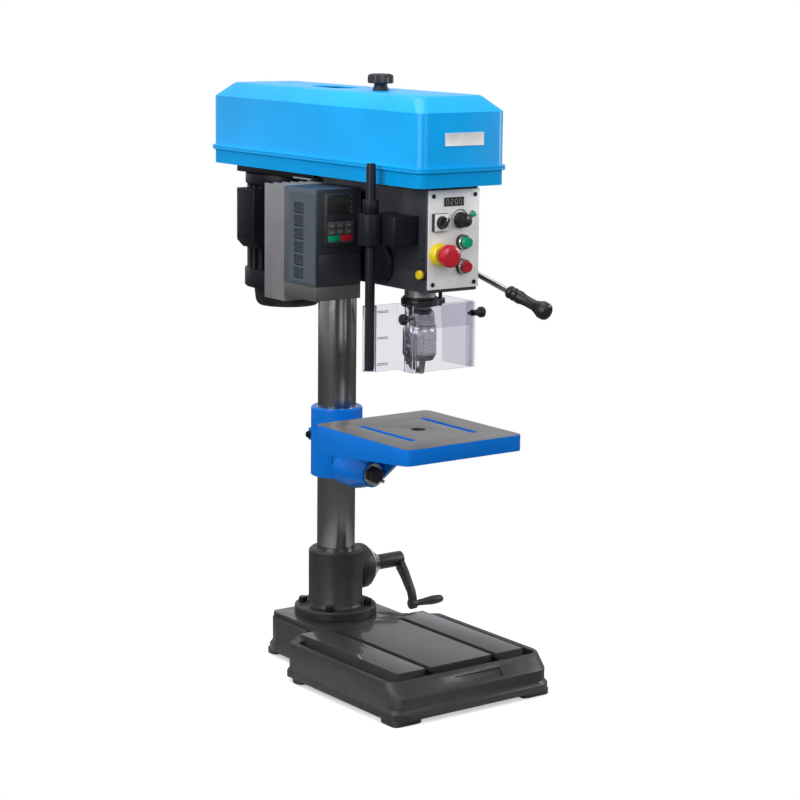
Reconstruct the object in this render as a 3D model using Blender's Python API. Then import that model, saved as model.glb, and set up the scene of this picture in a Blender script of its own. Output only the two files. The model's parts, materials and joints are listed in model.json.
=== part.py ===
"""Bench and floor-standing drill press with tilting table, chuck guard and belt drive.

Every length is in metres. X is the operator's right, -Y the operator's side, +Z up.
The pieces are laid out about the column axis; the last step moves the whole machine so
that the middle of its footprint is the origin.
"""
import math

import bmesh
import bpy
from mathutils import Matrix, Vector

# ---- fits
GAP = 0.0003            # between pieces that touch
RUN = 0.0003            # running clearance of a shaft in its bore
SEG_BIG, SEG_MID, SEG_LOW = 32, 24, 16

# ---- column and its lift
COL_R, COL_BORE_R = 0.040, 0.029
COL_FOOT_Z, COL_TOP_Z = 0.030, 0.998
LIFT_Y, LIFT_Z = 0.050, 0.166
LIFT_MODULE, LIFT_TEETH = 0.0015, 16
LIFT_TRAVEL = 0.100
LIFT_FACE = 0.020

# ---- base
BASE_HALF_X, BASE_FRONT_Y, BASE_BACK_Y = 0.1938, -0.482, 0.091
BASE_SLOPE, BASE_SLOPE_Z, BASE_CORNER_R = 0.025, 0.0535, 0.032
BASE_REAR_HALF_X = 0.119
BASE_RIM_Z, BASE_TOP_Z = 0.0815, 0.0907
BASE_WALL, BASE_ROOF_Z = 0.011, 0.050
BEAD = 0.0045
FOOT_H = 0.0105
WORK_HALF_X, WORK_FRONT_Y, WORK_BACK_Y = 0.157, -0.434, -0.100
SLOT_X, SLOT_W, SLOT_WIDE = 0.083, 0.014, 0.025
SLOT_NECK, SLOT_DEPTH = 0.010, 0.021
ANCHOR_X, ANCHOR_Y, ANCHOR_R = 0.1155, -0.0745, 0.0065

# ---- pedestal
PED_R, PED_TOP_Z = 0.0572, 0.232
FLANGE_R, FLANGE_TOP_Z = 0.087, 0.110
BOLT_XY, BOLT_R, BOLT_HEAD_R, BOLT_HEAD_H = 0.0495, 0.005, 0.009, 0.010
BOSS_R, BOSS_NECK_R, BOSS_END_R, BOSS_X0, BOSS_NECK_X = 0.0490, 0.0435, 0.0425, 0.010, 0.062
BOSS_BEND_X, BOSS_END_X = 0.103, 0.112
BOSS_BACK_R, BOSS_BACK_X = 0.0212, -0.018
LIFT_JOURNAL_R, LIFT_SHAFT_R = 0.0140, 0.010
RING_R, RING_NOSE_R, RING_END_X = 0.0375, 0.0225, 0.138
CRANK_HUB_R, CRANK_HUB_X0, CRANK_HUB_X1 = 0.0165, 0.141, 0.208
CRANK_DY, CRANK_DZ = -0.060, -0.088
CRANK_PIN_R, CRANK_END_X = 0.004, 0.280

# ---- table
COLLAR_R, COLLAR_Z0, COLLAR_Z1, BUSH_R = 0.054, 0.391, 0.537, 0.0435
TILT_Z, TILT_HUB_R, TILT_NOSE_R, TILT_PLANE_Y, TILT_FRONT_Y = 0.413, 0.038, 0.0275, -0.065, -0.132
TILT_BOLT_R, TILT_BOLT_AF, TILT_WASHER_R = 0.008, 0.030, 0.024
TABLE_HALF_X, TABLE_FRONT_Y, TABLE_BACK_Y = 0.143, -0.4385, -0.125
TABLE_TOP_Z, TABLE_H, TABLE_BACK_H, TABLE_SKIN, TABLE_WALL = 0.5326, 0.0321, 0.0586, 0.014, 0.011
TABLE_CORNER_R = 0.014
TABLE_SLOT_X, TABLE_SLOT_W, TABLE_SLOT_Y0, TABLE_SLOT_Y1 = 0.077, 0.014, -0.371, -0.192
TABLE_HOLE_R = 0.015
CLAMP_ANGLE, CLAMP_Z, CLAMP_REACH, CLAMP_HALF_H = 100.0, 0.4685, 0.071, 0.0125

# ---- head, quill and feed
SPIN_Y = -0.2826
HEAD_HALF_X, HEAD_FRONT_Y, HEAD_Z0, HEAD_Z1 = 0.0618, -0.385, 0.822, 1.0264
HEAD_REAR_R, HEAD_REAR_TOP_Z = 0.060, 1.0100
QUILL_R, QUILL_Z0, QUILL_Z1, QUILL_BORE_R = 0.031, 0.797, 0.975, 0.0129
QUILL_NOSE_R, QUILL_NOSE_Z = 0.0255, 0.780
QUILL_RACK = 0.029      # pitch line from the spindle axis
FEED_MODULE, FEED_TEETH = 0.002, 15
FEED_Z, FEED_TRAVEL, FEED_FACE = 0.867, 0.085, 0.022
FEED_JOURNAL_R, FEED_SHAFT_R = 0.0170, 0.010
FEED_HUB_R, FEED_HUB_X1 = 0.030, 0.118
LEVER_R, LEVER_REACH, LEVER_GRIP, LEVER_X, LEVER_LEAN = 0.006, 0.258, 0.157, 0.100, 0.25
LEVER_DROP = 20.0
GRIP_SHAPE = ((0.0105, 0), (0.0132, 0.005), (0.0132, 0.032), (0.0108, 0.042), (0.0108, 0.068), (0.0170, 0.080),
              (0.0178, 0.095), (0.0140, 0.101))
CAP_R, CAP_H = 0.0405, 0.010
SPINDLE_R, SPLINE_R, ARBOR_R = 0.0125, 0.0085, 0.007
SPINDLE_STEP_Z, SPINDLE_TOP_Z, ARBOR_Z = 0.972, 1.135, 0.735
CHUCK_R, CHUCK_TOP_R, CHUCK_Z0, CHUCK_SPLIT_Z, CHUCK_Z1 = 0.026, 0.030, 0.680, 0.745, 0.7782
SLEEVE_R, SLEEVE_Z0 = 0.0335, 0.676
JAW_R, JAW_TIP_Z, JAW_TOP_Z, JAW_LEAN, JAW_FACE = 0.0058, 0.647, 0.716, 10.0, 0.0026
STOP_X, STOP_Y, STOP_R = 0.045, -0.2900, 0.004

# ---- control panel
PANEL_Z0, PANEL_Z1, PANEL_T = 0.8287, 1.0200, 0.0028
BUTTON_R, BEZEL_R, BEZEL_L = 0.0108, 0.0148, 0.013
START_XZ, STOP_XZ, ESTOP_XZ = (0.0195, 0.9185), (0.0200, 0.8710), (-0.038, 0.897)
SELECT_XZ, DIAL_XZ, LAMP_XZ = (-0.0375, 0.9590), (0.0140, 0.961), (0.0436, 0.971)
DISPLAY_XZ, DISPLAY_W, DISPLAY_H = (-0.0015, 0.997), 0.046, 0.015
ESTOP_BASE_R, ESTOP_HEAD_R = 0.0220, 0.0225
DIAL_R, DIAL_L = 0.0158, 0.025
SIDE_Y, SIDE_Z, SIDE_R = -0.3723, 0.8576, 0.009

# ---- drive
COVER_HALF_X, COVER_FRONT_Y, COVER_BACK_Y, COVER_CORNER_R = 0.1045, -0.4154, 0.3211, 0.020
COVER_Z0, COVER_SEAM_Z, COVER_BEVEL_Z, COVER_TOP_Z = 1.0268, 1.0605, 1.1685, 1.1976
COVER_TOP_IN_X, COVER_TOP_IN_Y, COVER_WALL, COVER_LIP = 0.0255, 0.040, 0.003, 0.006
KNOB_Y, KNOB_R, KNOB_STEM_R, KNOB_Z0, KNOB_Z1 = -0.1420, 0.0265, 0.016, 1.2125, 1.231
OVAL_X, OVAL_Y, OVAL_MID_Y = 0.030, 0.062, 0.016
MOTOR_Y, MOTOR_R, MOTOR_Z0, MOTOR_Z1, MOTOR_FLANGE_R = 0.185, 0.087, 0.771, 0.986, 0.0905
MOTOR_RING_R, MOTOR_RING_Z = 0.0920, 0.8086
MOTOR_SHAFT_R, COWL_R, COWL_Z0 = 0.0095, 0.072, 0.7295
PULLEY_Z0, GROOVE_PITCH, GROOVE_W, GROOVE_D = 1.046, 0.022, 0.010, 0.007
SPINDLE_STEPS, MOTOR_STEPS = (0.060, 0.048, 0.036), (0.036, 0.048, 0.060)
BELT_STEP = 1

# ---- inverter and guard
INV_X0, INV_X1, INV_Y0, INV_Y1 = -0.192, -0.0815, -0.197, -0.084
INV_Z0, INV_SPLIT_Z, INV_Z1 = 0.793, 0.8213, 1.012
SINK_Y0, SINK_Y1, SINK_Z0 = -0.070, -0.012, 0.781
VENT_Y0, VENT_Y1, VENT_Z, VENT_PITCH, VENT_H = -0.155, -0.122, 0.8335, 0.0257, 0.0215
ROD_X, ROD_Y, ROD_R, ROD_Z0, ROD_Z1 = -0.135, -0.300, 0.0095, 0.667, 1.069
ARM_Z0, ARM_Z1, ARM_BOSS_R = 0.912, 0.972, 0.0235
GUARD_T = 0.0025
GUARD_X0, GUARD_X1, GUARD_Y0, GUARD_RIGHT_Y, GUARD_LEFT_Y = -0.073, 0.077, -0.357, -0.259, -0.3035
GUARD_Z0, GUARD_Z1 = 0.664, 0.795
SHIELD_TOP_Z, SHIELD_RETURN = 0.792, 0.026
GKNOB_Y, GKNOB_Z, GKNOB_R = -0.3465, 0.769, 0.011

COLOURS = {
    "blue": (0.010, 0.26, 0.75, 0.0, 0.35), "dark": (0.060, 0.056, 0.052, 0.0, 0.55),
    "steel": (0.62, 0.62, 0.60, 1.0, 0.25), "black": (0.015, 0.015, 0.016, 0.0, 0.45),
    "white": (0.82, 0.82, 0.80, 0.0, 0.40), "red": (0.62, 0.015, 0.012, 0.0, 0.35),
    "green": (0.01, 0.35, 0.06, 0.0, 0.35), "yellow": (0.85, 0.60, 0.02, 0.0, 0.40),
    "slate": (0.07, 0.085, 0.10, 0.0, 0.50), "alloy": (0.55, 0.56, 0.58, 1.0, 0.40),
    "clear": (0.35, 0.33, 0.38, 0.0, 0.15),
}


def clear_scene():
    for thing in list(bpy.data.objects):
        bpy.data.objects.remove(thing, do_unlink=True)


def paint(thing, colour):
    r, g, b, metal, rough = COLOURS[colour]
    mat = bpy.data.materials.new(thing.name + "_" + colour)
    mat.use_nodes = True
    shader = mat.node_tree.nodes["Principled BSDF"]
    shader.inputs["Base Color"].default_value = (r, g, b, 1.0)
    shader.inputs["Metallic"].default_value = metal
    shader.inputs["Roughness"].default_value = rough
    thing.data.materials.clear()
    thing.data.materials.append(mat)


def from_bm(bm, name="tool"):
    bmesh.ops.recalc_face_normals(bm, faces=bm.faces)
    mesh = bpy.data.meshes.new(name)
    bm.to_mesh(mesh)
    bm.free()
    thing = bpy.data.objects.new(name, mesh)
    bpy.context.scene.collection.objects.link(thing)
    return thing


def spot(axis, a, b, s):
    """A point from two cross coordinates and a height along the named axis."""
    return Vector({"X": (s, a, b), "Y": (a, s, b), "Z": (a, b, s)}[axis])


def loft(loops, closed=False):
    """A solid through equal loops: capped at both ends, or joined end to end when closed."""
    bm = bmesh.new()
    rings = [[bm.verts.new(p) for p in loop] for loop in loops]
    count = len(rings[0])
    pairs = list(zip(rings, rings[1:]))
    if closed:
        pairs.append((rings[-1], rings[0]))
    for low, high in pairs:
        for i in range(count):
            j = (i + 1) % count
            bm.faces.new((low[i], low[j], high[j], high[i]))
    if not closed:
        bm.faces.new(list(reversed(rings[0])))
        bm.faces.new(rings[-1])
    return from_bm(bm)


def prism(axis, outline, s0, s1):
    return loft([[spot(axis, a, b, s) for a, b in outline] for s in (s0, s1)])


def box(x0, x1, y0, y1, z0, z1):
    return prism("Z", [(x0, y0), (x1, y0), (x1, y1), (x0, y1)], z0, z1)


def circle(a, b, r, seg, turn=0.0):
    step = 2 * math.pi / seg
    return [(a + r * math.cos(i * step + turn), b + r * math.sin(i * step + turn)) for i in range(seg)]


def rod(axis, a, b, r, s0, s1, seg=SEG_LOW, turn=0.037):
    return prism(axis, circle(a, b, r, seg, turn), s0, s1)


def lathe(axis, a, b, profile, seg=SEG_MID):
    """A turned piece; the profile is (radius, height) pairs, ending on the axis or closing as a ring."""
    if profile[0][0] == 0 and profile[-1][0] == 0:
        loops = [[spot(axis, u, v, s) for u, v in circle(a, b, r, seg)] for r, s in profile[1:-1]]
        return loft(loops)
    loops = [[spot(axis, u, v, s) for u, v in circle(a, b, r, seg)] for r, s in profile]
    return loft(loops, closed=True)


def rounded(corners, seg=4):
    """An outline from (x, y, radius) corners, each rounded with the same number of points."""
    out = []
    count = len(corners)
    for i, (x, y, r) in enumerate(corners):
        here = Vector((x, y))
        back = (Vector(corners[i - 1][:2]) - here).normalized()
        ahead = (Vector(corners[(i + 1) % count][:2]) - here).normalized()
        half = back.angle(ahead) / 2
        centre = here + (back + ahead).normalized() * (r / math.sin(half))
        first = here + back * (r / math.tan(half)) - centre
        last = here + ahead * (r / math.tan(half)) - centre
        sweep = first.angle_signed(last)
        for k in range(seg + 1):
            turn = Matrix.Rotation(-sweep * k / seg, 2)
            p = centre + turn @ first
            out.append((p.x, p.y))
    return out


def slab(x0, x1, y0, y1, z0, z1, r, seg=4):
    return prism("Z", rounded([(x0, y0, r), (x1, y0, r), (x1, y1, r), (x0, y1, r)], seg), z0, z1)


def combine(thing, tool, how):
    mod = thing.modifiers.new("join", "BOOLEAN")
    mod.operation, mod.solver, mod.object = how, "EXACT", tool
    bpy.context.view_layer.update()
    seen = thing.evaluated_get(bpy.context.evaluated_depsgraph_get())
    mesh = bpy.data.meshes.new_from_object(seen)
    thing.modifiers.clear()
    thing.data = mesh
    bpy.data.objects.remove(tool, do_unlink=True)
    return thing


def add(thing, *tools):
    for tool in tools:
        combine(thing, tool, "UNION")
    return thing


def cut(thing, *tools):
    for tool in tools:
        combine(thing, tool, "DIFFERENCE")
    return thing


def turned(thing, matrix):
    thing.data.transform(matrix)
    return thing


def finish(thing, name, colour, pivot=(0, 0, 0)):
    """Names a piece, paints it and puts its origin on its joint axis."""
    thing.name = thing.data.name = name
    pivot = Vector(pivot)
    thing.data.transform(Matrix.Translation(-pivot))
    thing.location = pivot
    paint(thing, colour)
    return thing


def gear_outline(module, teeth, point_at, play=0.00012):
    """An involute gear; a tooth's middle points along the given angle."""
    pitch_r = module * teeth / 2
    base_r, tip_r, root_r = pitch_r * math.cos(math.radians(20)), pitch_r + module, pitch_r - 1.25 * module

    def inv(r):
        angle = math.acos(min(1.0, base_r / r))
        return math.tan(angle) - angle

    half = math.pi / (2 * teeth) - play / pitch_r
    radii = [base_r + (tip_r - base_r) * k / 2 for k in range(3)]
    flank = [(r, half + inv(pitch_r) - inv(r)) for r in radii]
    tooth = [(root_r, -flank[0][1])] + [(r, -t) for r, t in flank]
    tooth += [(r, t) for r, t in reversed(flank)] + [(root_r, flank[0][1])]
    out = []
    for i in range(teeth):
        mid = point_at + 2 * math.pi * i / teeth
        out += [(r * math.cos(mid + t), r * math.sin(mid + t)) for r, t in tooth]
    return out


def rack_cutter(module, pitch_line, mid_z, z0, z1, half_face, centre_y, play=0.00012):
    """Cuts straight-flanked rack teeth facing +Y; a space lies at mid_z."""
    pitch = math.pi * module
    tip, root, out_y = pitch_line + 0.85 * module, pitch_line - 1.25 * module, pitch_line + 3 * module
    lean = math.tan(math.radians(20))
    count = int((z1 - mid_z) / pitch), int((mid_z - z0) / pitch)
    outline = [(out_y, mid_z - (count[1] + 0.5) * pitch), (out_y, mid_z + (count[0] + 0.5) * pitch)]
    outline.append((tip, mid_z + (count[0] + 0.5) * pitch))
    for k in range(count[0], -count[1] - 1, -1):
        mid = mid_z + k * pitch
        wide = pitch / 4 + play + (tip - pitch_line) * lean
        slim = pitch / 4 + play + (root - pitch_line) * lean
        outline += [(tip, mid + wide), (root, mid + slim), (root, mid - slim), (tip, mid - wide)]
    outline.append((tip, mid_z - (count[1] + 0.5) * pitch))
    return prism("X", [(centre_y + y, z) for y, z in outline], -half_face, half_face)


def base_outline(grow, front=0.0):
    side, rear = BASE_HALF_X + grow, BASE_REAR_HALF_X + grow
    knee, hip = -0.112 + grow * 0.5, -0.062 + grow * 0.5
    f, b = BASE_FRONT_Y - grow + front, BASE_BACK_Y + grow
    return rounded([(-side, f, BASE_CORNER_R), (side, f, BASE_CORNER_R), (side, knee, 0.008), (rear + 0.004, hip, 0.008),
                    (rear, b, 0.044), (-rear, b, 0.044), (-rear - 0.004, hip, 0.008), (-side, knee, 0.008)], 3)


def make_base():
    levels = [(FOOT_H, BEAD, 0), (0.024, BEAD, 0), (0.031, 0, 0), (BASE_SLOPE_Z, 0, 0),
              (BASE_RIM_Z, 0, BASE_SLOPE)]
    body = loft([[(x, y, z) for x, y in base_outline(g, f)] for z, g, f in levels])
    cut(body, prism("Z", base_outline(-BASE_WALL), FOOT_H - 0.001, BASE_ROOF_Z))
    tray = slab(-BASE_HALF_X + 0.0123, BASE_HALF_X - 0.0123, BASE_FRONT_Y + 0.0310, -0.120, 0.066, 0.09, 0.016)
    cut(body, tray)
    deck = slab(-BASE_REAR_HALF_X + 0.010, BASE_REAR_HALF_X - 0.010, WORK_BACK_Y - 0.012, BASE_BACK_Y - 0.010,
                0.060, BASE_TOP_Z, 0.011)
    add(body, deck, box(-WORK_HALF_X, WORK_HALF_X, WORK_FRONT_Y, WORK_BACK_Y, 0.058, BASE_TOP_Z))
    for x in (-SLOT_X, SLOT_X):
        top = BASE_TOP_Z
        slot = [(x - SLOT_W / 2, top + 0.005), (x - SLOT_W / 2, top - SLOT_NECK), (x - SLOT_WIDE / 2, top - SLOT_NECK),
                (x - SLOT_WIDE / 2, top - SLOT_DEPTH), (x + SLOT_WIDE / 2, top - SLOT_DEPTH),
                (x + SLOT_WIDE / 2, top - SLOT_NECK), (x + SLOT_W / 2, top - SLOT_NECK), (x + SLOT_W / 2, top + 0.005)]
        cut(body, prism("Y", slot, WORK_FRONT_Y - 0.004, WORK_BACK_Y - 0.020))
    rise = BASE_RIM_Z - BASE_SLOPE_Z
    y1, y2 = (BASE_FRONT_Y + BASE_SLOPE * k for k in (0.18, 0.68))
    z1, z2 = (BASE_SLOPE_Z + rise * k for k in (0.18, 0.68))
    hollow = [(y1 - 0.010, z1 + 0.010), (y1 + 0.003, z1 - 0.0026), (y2 + 0.003, z2 - 0.0026), (y2 - 0.010, z2 + 0.010)]
    cut(body, prism("X", hollow, -0.040, 0.074))
    cut(body, rod("Z", 0, 0, COL_R + 0.0008, BASE_ROOF_Z - 0.005, BASE_TOP_Z + 0.005, SEG_BIG))
    for x in (-BOLT_XY, BOLT_XY):
        for y in (-BOLT_XY, BOLT_XY):
            cut(body, rod("Z", x, y, BOLT_R + RUN, 0.062, BASE_TOP_Z + 0.005, 16))
    for x in (-ANCHOR_X, ANCHOR_X):
        cut(body, rod("Z", x, ANCHOR_Y, ANCHOR_R, BASE_ROOF_Z - 0.005, BASE_TOP_Z + 0.005, 16))
    for x, y, px, py in ((BASE_HALF_X - 0.0330, BASE_FRONT_Y + 0.0300, 0.0340, 0.0270),
                         (BASE_HALF_X - 0.0160, -0.135, 0.0163, 0.0163),
                         (BASE_REAR_HALF_X - 0.0160, BASE_BACK_Y - 0.021, 0.0163, 0.0163)):
        for side in (-1, 1):
            add(body, slab(side * x - px, side * x + px, y - py, y + py, 0.0, FOOT_H + 0.002, 0.010, 2))
    finish(body, "base_casting", "dark")


def make_pedestal():
    z0 = BASE_TOP_Z + GAP
    body = lathe("Z", 0, 0, [(COL_R - 0.002, z0), (FLANGE_R, z0), (FLANGE_R, FLANGE_TOP_Z - 0.003),
                             (FLANGE_R - 0.003, FLANGE_TOP_Z), (PED_R + 0.0030, FLANGE_TOP_Z),
                             (PED_R, FLANGE_TOP_Z + 0.005), (PED_R, PED_TOP_Z - 0.005),
                             (PED_R - 0.005, PED_TOP_Z), (COL_R - 0.002, PED_TOP_Z)], SEG_BIG)
    dome = [(BOSS_R + (BOSS_END_R - BOSS_R) * k ** 2, BOSS_BEND_X + (BOSS_END_X - BOSS_BEND_X) * k)
            for k in (0, 0.4, 0.75, 1)]
    add(body, lathe("X", LIFT_Y, LIFT_Z, [(0, BOSS_X0), (BOSS_NECK_R, BOSS_X0), (BOSS_NECK_R, BOSS_NECK_X),
                                       (BOSS_R, BOSS_NECK_X + 0.008)] + dome + [(0, BOSS_END_X)], SEG_MID))
    add(body, rod("X", LIFT_Y, LIFT_Z, BOSS_BACK_R, BOSS_BACK_X, BOSS_X0 + 0.02, SEG_MID))
    cut(body, rod("Z", 0, 0, COL_R + RUN, z0 - 0.01, PED_TOP_Z + 0.01, SEG_BIG))
    cut(body, rod("X", LIFT_Y, LIFT_Z, LIFT_JOURNAL_R + RUN, -0.0135, BOSS_END_X + 0.01, SEG_MID))
    for x in (-BOLT_XY, BOLT_XY):
        for y in (-BOLT_XY, BOLT_XY):
            cut(body, rod("Z", x, y, BOLT_R + RUN, z0 - 0.01, FLANGE_TOP_Z + 0.01, 16))
    finish(body, "pedestal", "dark")
    for i, (x, y) in enumerate(((-1, -1), (1, -1), (1, 1), (-1, 1))):
        at = FLANGE_TOP_Z + GAP
        bolt = lathe("Z", x * BOLT_XY, y * BOLT_XY, [
            (0, 0.066), (BOLT_R, 0.066), (BOLT_R, at), (BOLT_HEAD_R, at), (BOLT_HEAD_R, at + BOLT_HEAD_H - 0.001),
            (BOLT_HEAD_R - 0.001, at + BOLT_HEAD_H), (0, at + BOLT_HEAD_H)], 16)
        cut(bolt, prism("Z", circle(x * BOLT_XY, y * BOLT_XY, 0.0046, 6), at + 0.004, at + 0.02))
        finish(bolt, f"flange_bolt_{i + 1}", "black")


def make_lift():
    axis = (0, LIFT_Y, LIFT_Z)
    start, half = BOSS_END_X + GAP, LIFT_FACE / 2
    ring = lathe("X", LIFT_Y, LIFT_Z, [(LIFT_SHAFT_R + RUN, start), (RING_R, start), (RING_R, start + 0.008),
                                       (RING_NOSE_R, RING_END_X), (LIFT_SHAFT_R + RUN, RING_END_X)])
    finish(ring, "lift_lock_ring", "steel", axis)
    gear = gear_outline(LIFT_MODULE, LIFT_TEETH, math.pi)
    shaft = prism("X", [(LIFT_Y + a, LIFT_Z + b) for a, b in gear], -half, half)
    add(shaft, lathe("X", LIFT_Y, LIFT_Z, [
        (0, half - 0.002), (0.009, half - 0.002), (0.009, 0.022), (LIFT_JOURNAL_R, 0.022),
        (LIFT_JOURNAL_R, BOSS_END_X - 0.001), (LIFT_SHAFT_R, BOSS_END_X - 0.001),
        (LIFT_SHAFT_R, CRANK_HUB_X1 + 0.002), (0, CRANK_HUB_X1 + 0.002)], 24))
    finish(shaft, "lift_shaft", "steel", axis)

    hub = lathe("X", LIFT_Y, LIFT_Z, [(LIFT_SHAFT_R + RUN, CRANK_HUB_X0), (CRANK_HUB_R - 0.0015, CRANK_HUB_X0),
                                      (CRANK_HUB_R, CRANK_HUB_X0 + 0.0015), (CRANK_HUB_R, CRANK_HUB_X1),
                                      (LIFT_SHAFT_R + RUN, CRANK_HUB_X1)], 32)
    end_y, end_z = LIFT_Y + CRANK_DY, LIFT_Z + CRANK_DZ
    mids = [(-0.013, -0.010), (-0.030, -0.028), (-0.043, -0.046), (-0.054, -0.060), (-0.059, -0.074),
            (CRANK_DY, CRANK_DZ)]
    wide = [0.012, 0.0105, 0.0095, 0.0088, 0.0085, 0.0085]
    left, right = [], []
    for i, (y, z) in enumerate(mids):
        near, far = Vector(mids[max(i - 1, 0)]), Vector(mids[min(i + 1, len(mids) - 1)])
        side = (far - near).normalized().orthogonal() * wide[i]
        left.append((LIFT_Y + y + side.x, LIFT_Z + z + side.y))
        right.append((LIFT_Y + y - side.x, LIFT_Z + z - side.y))
    arm = prism("X", left + right[::-1], 0.1925, 0.2045)
    add(hub, arm, rod("X", end_y, end_z, 0.0115, 0.1920, 0.2050, 24))
    add(hub, rod("X", end_y, end_z, CRANK_PIN_R, 0.198, CRANK_END_X - 0.002, 16))
    cut(hub, rod("X", LIFT_Y, LIFT_Z, LIFT_SHAFT_R + RUN, CRANK_HUB_X0 - 0.01, CRANK_HUB_X1 + 0.01, 32))
    finish(hub, "crank_arm", "dark", axis)
    bore, g0 = CRANK_PIN_R + RUN, 0.2050 + GAP
    grip = lathe("X", end_y, end_z, [(bore, g0), (0.0065, g0), (0.0075, g0 + 0.02), (0.0098, g0 + 0.048),
                                     (0.0090, CRANK_END_X - 0.006), (0.0065, CRANK_END_X), (bore, CRANK_END_X)], 16)
    finish(grip, "crank_grip", "black", (0, end_y, end_z))


def make_column():
    body = lathe("Z", 0, 0, [(COL_BORE_R, COL_FOOT_Z), (COL_R, COL_FOOT_Z), (COL_R, COL_TOP_Z), (COL_BORE_R, COL_TOP_Z)],
                 SEG_BIG)
    pitch_line = LIFT_Y - LIFT_MODULE * LIFT_TEETH / 2
    cut(body, rack_cutter(LIFT_MODULE, pitch_line, LIFT_Z, LIFT_Z - LIFT_TRAVEL - 0.012, LIFT_Z + 0.014,
                          LIFT_FACE / 2 + 0.0015, 0.0))
    finish(body, "column", "steel")


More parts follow.
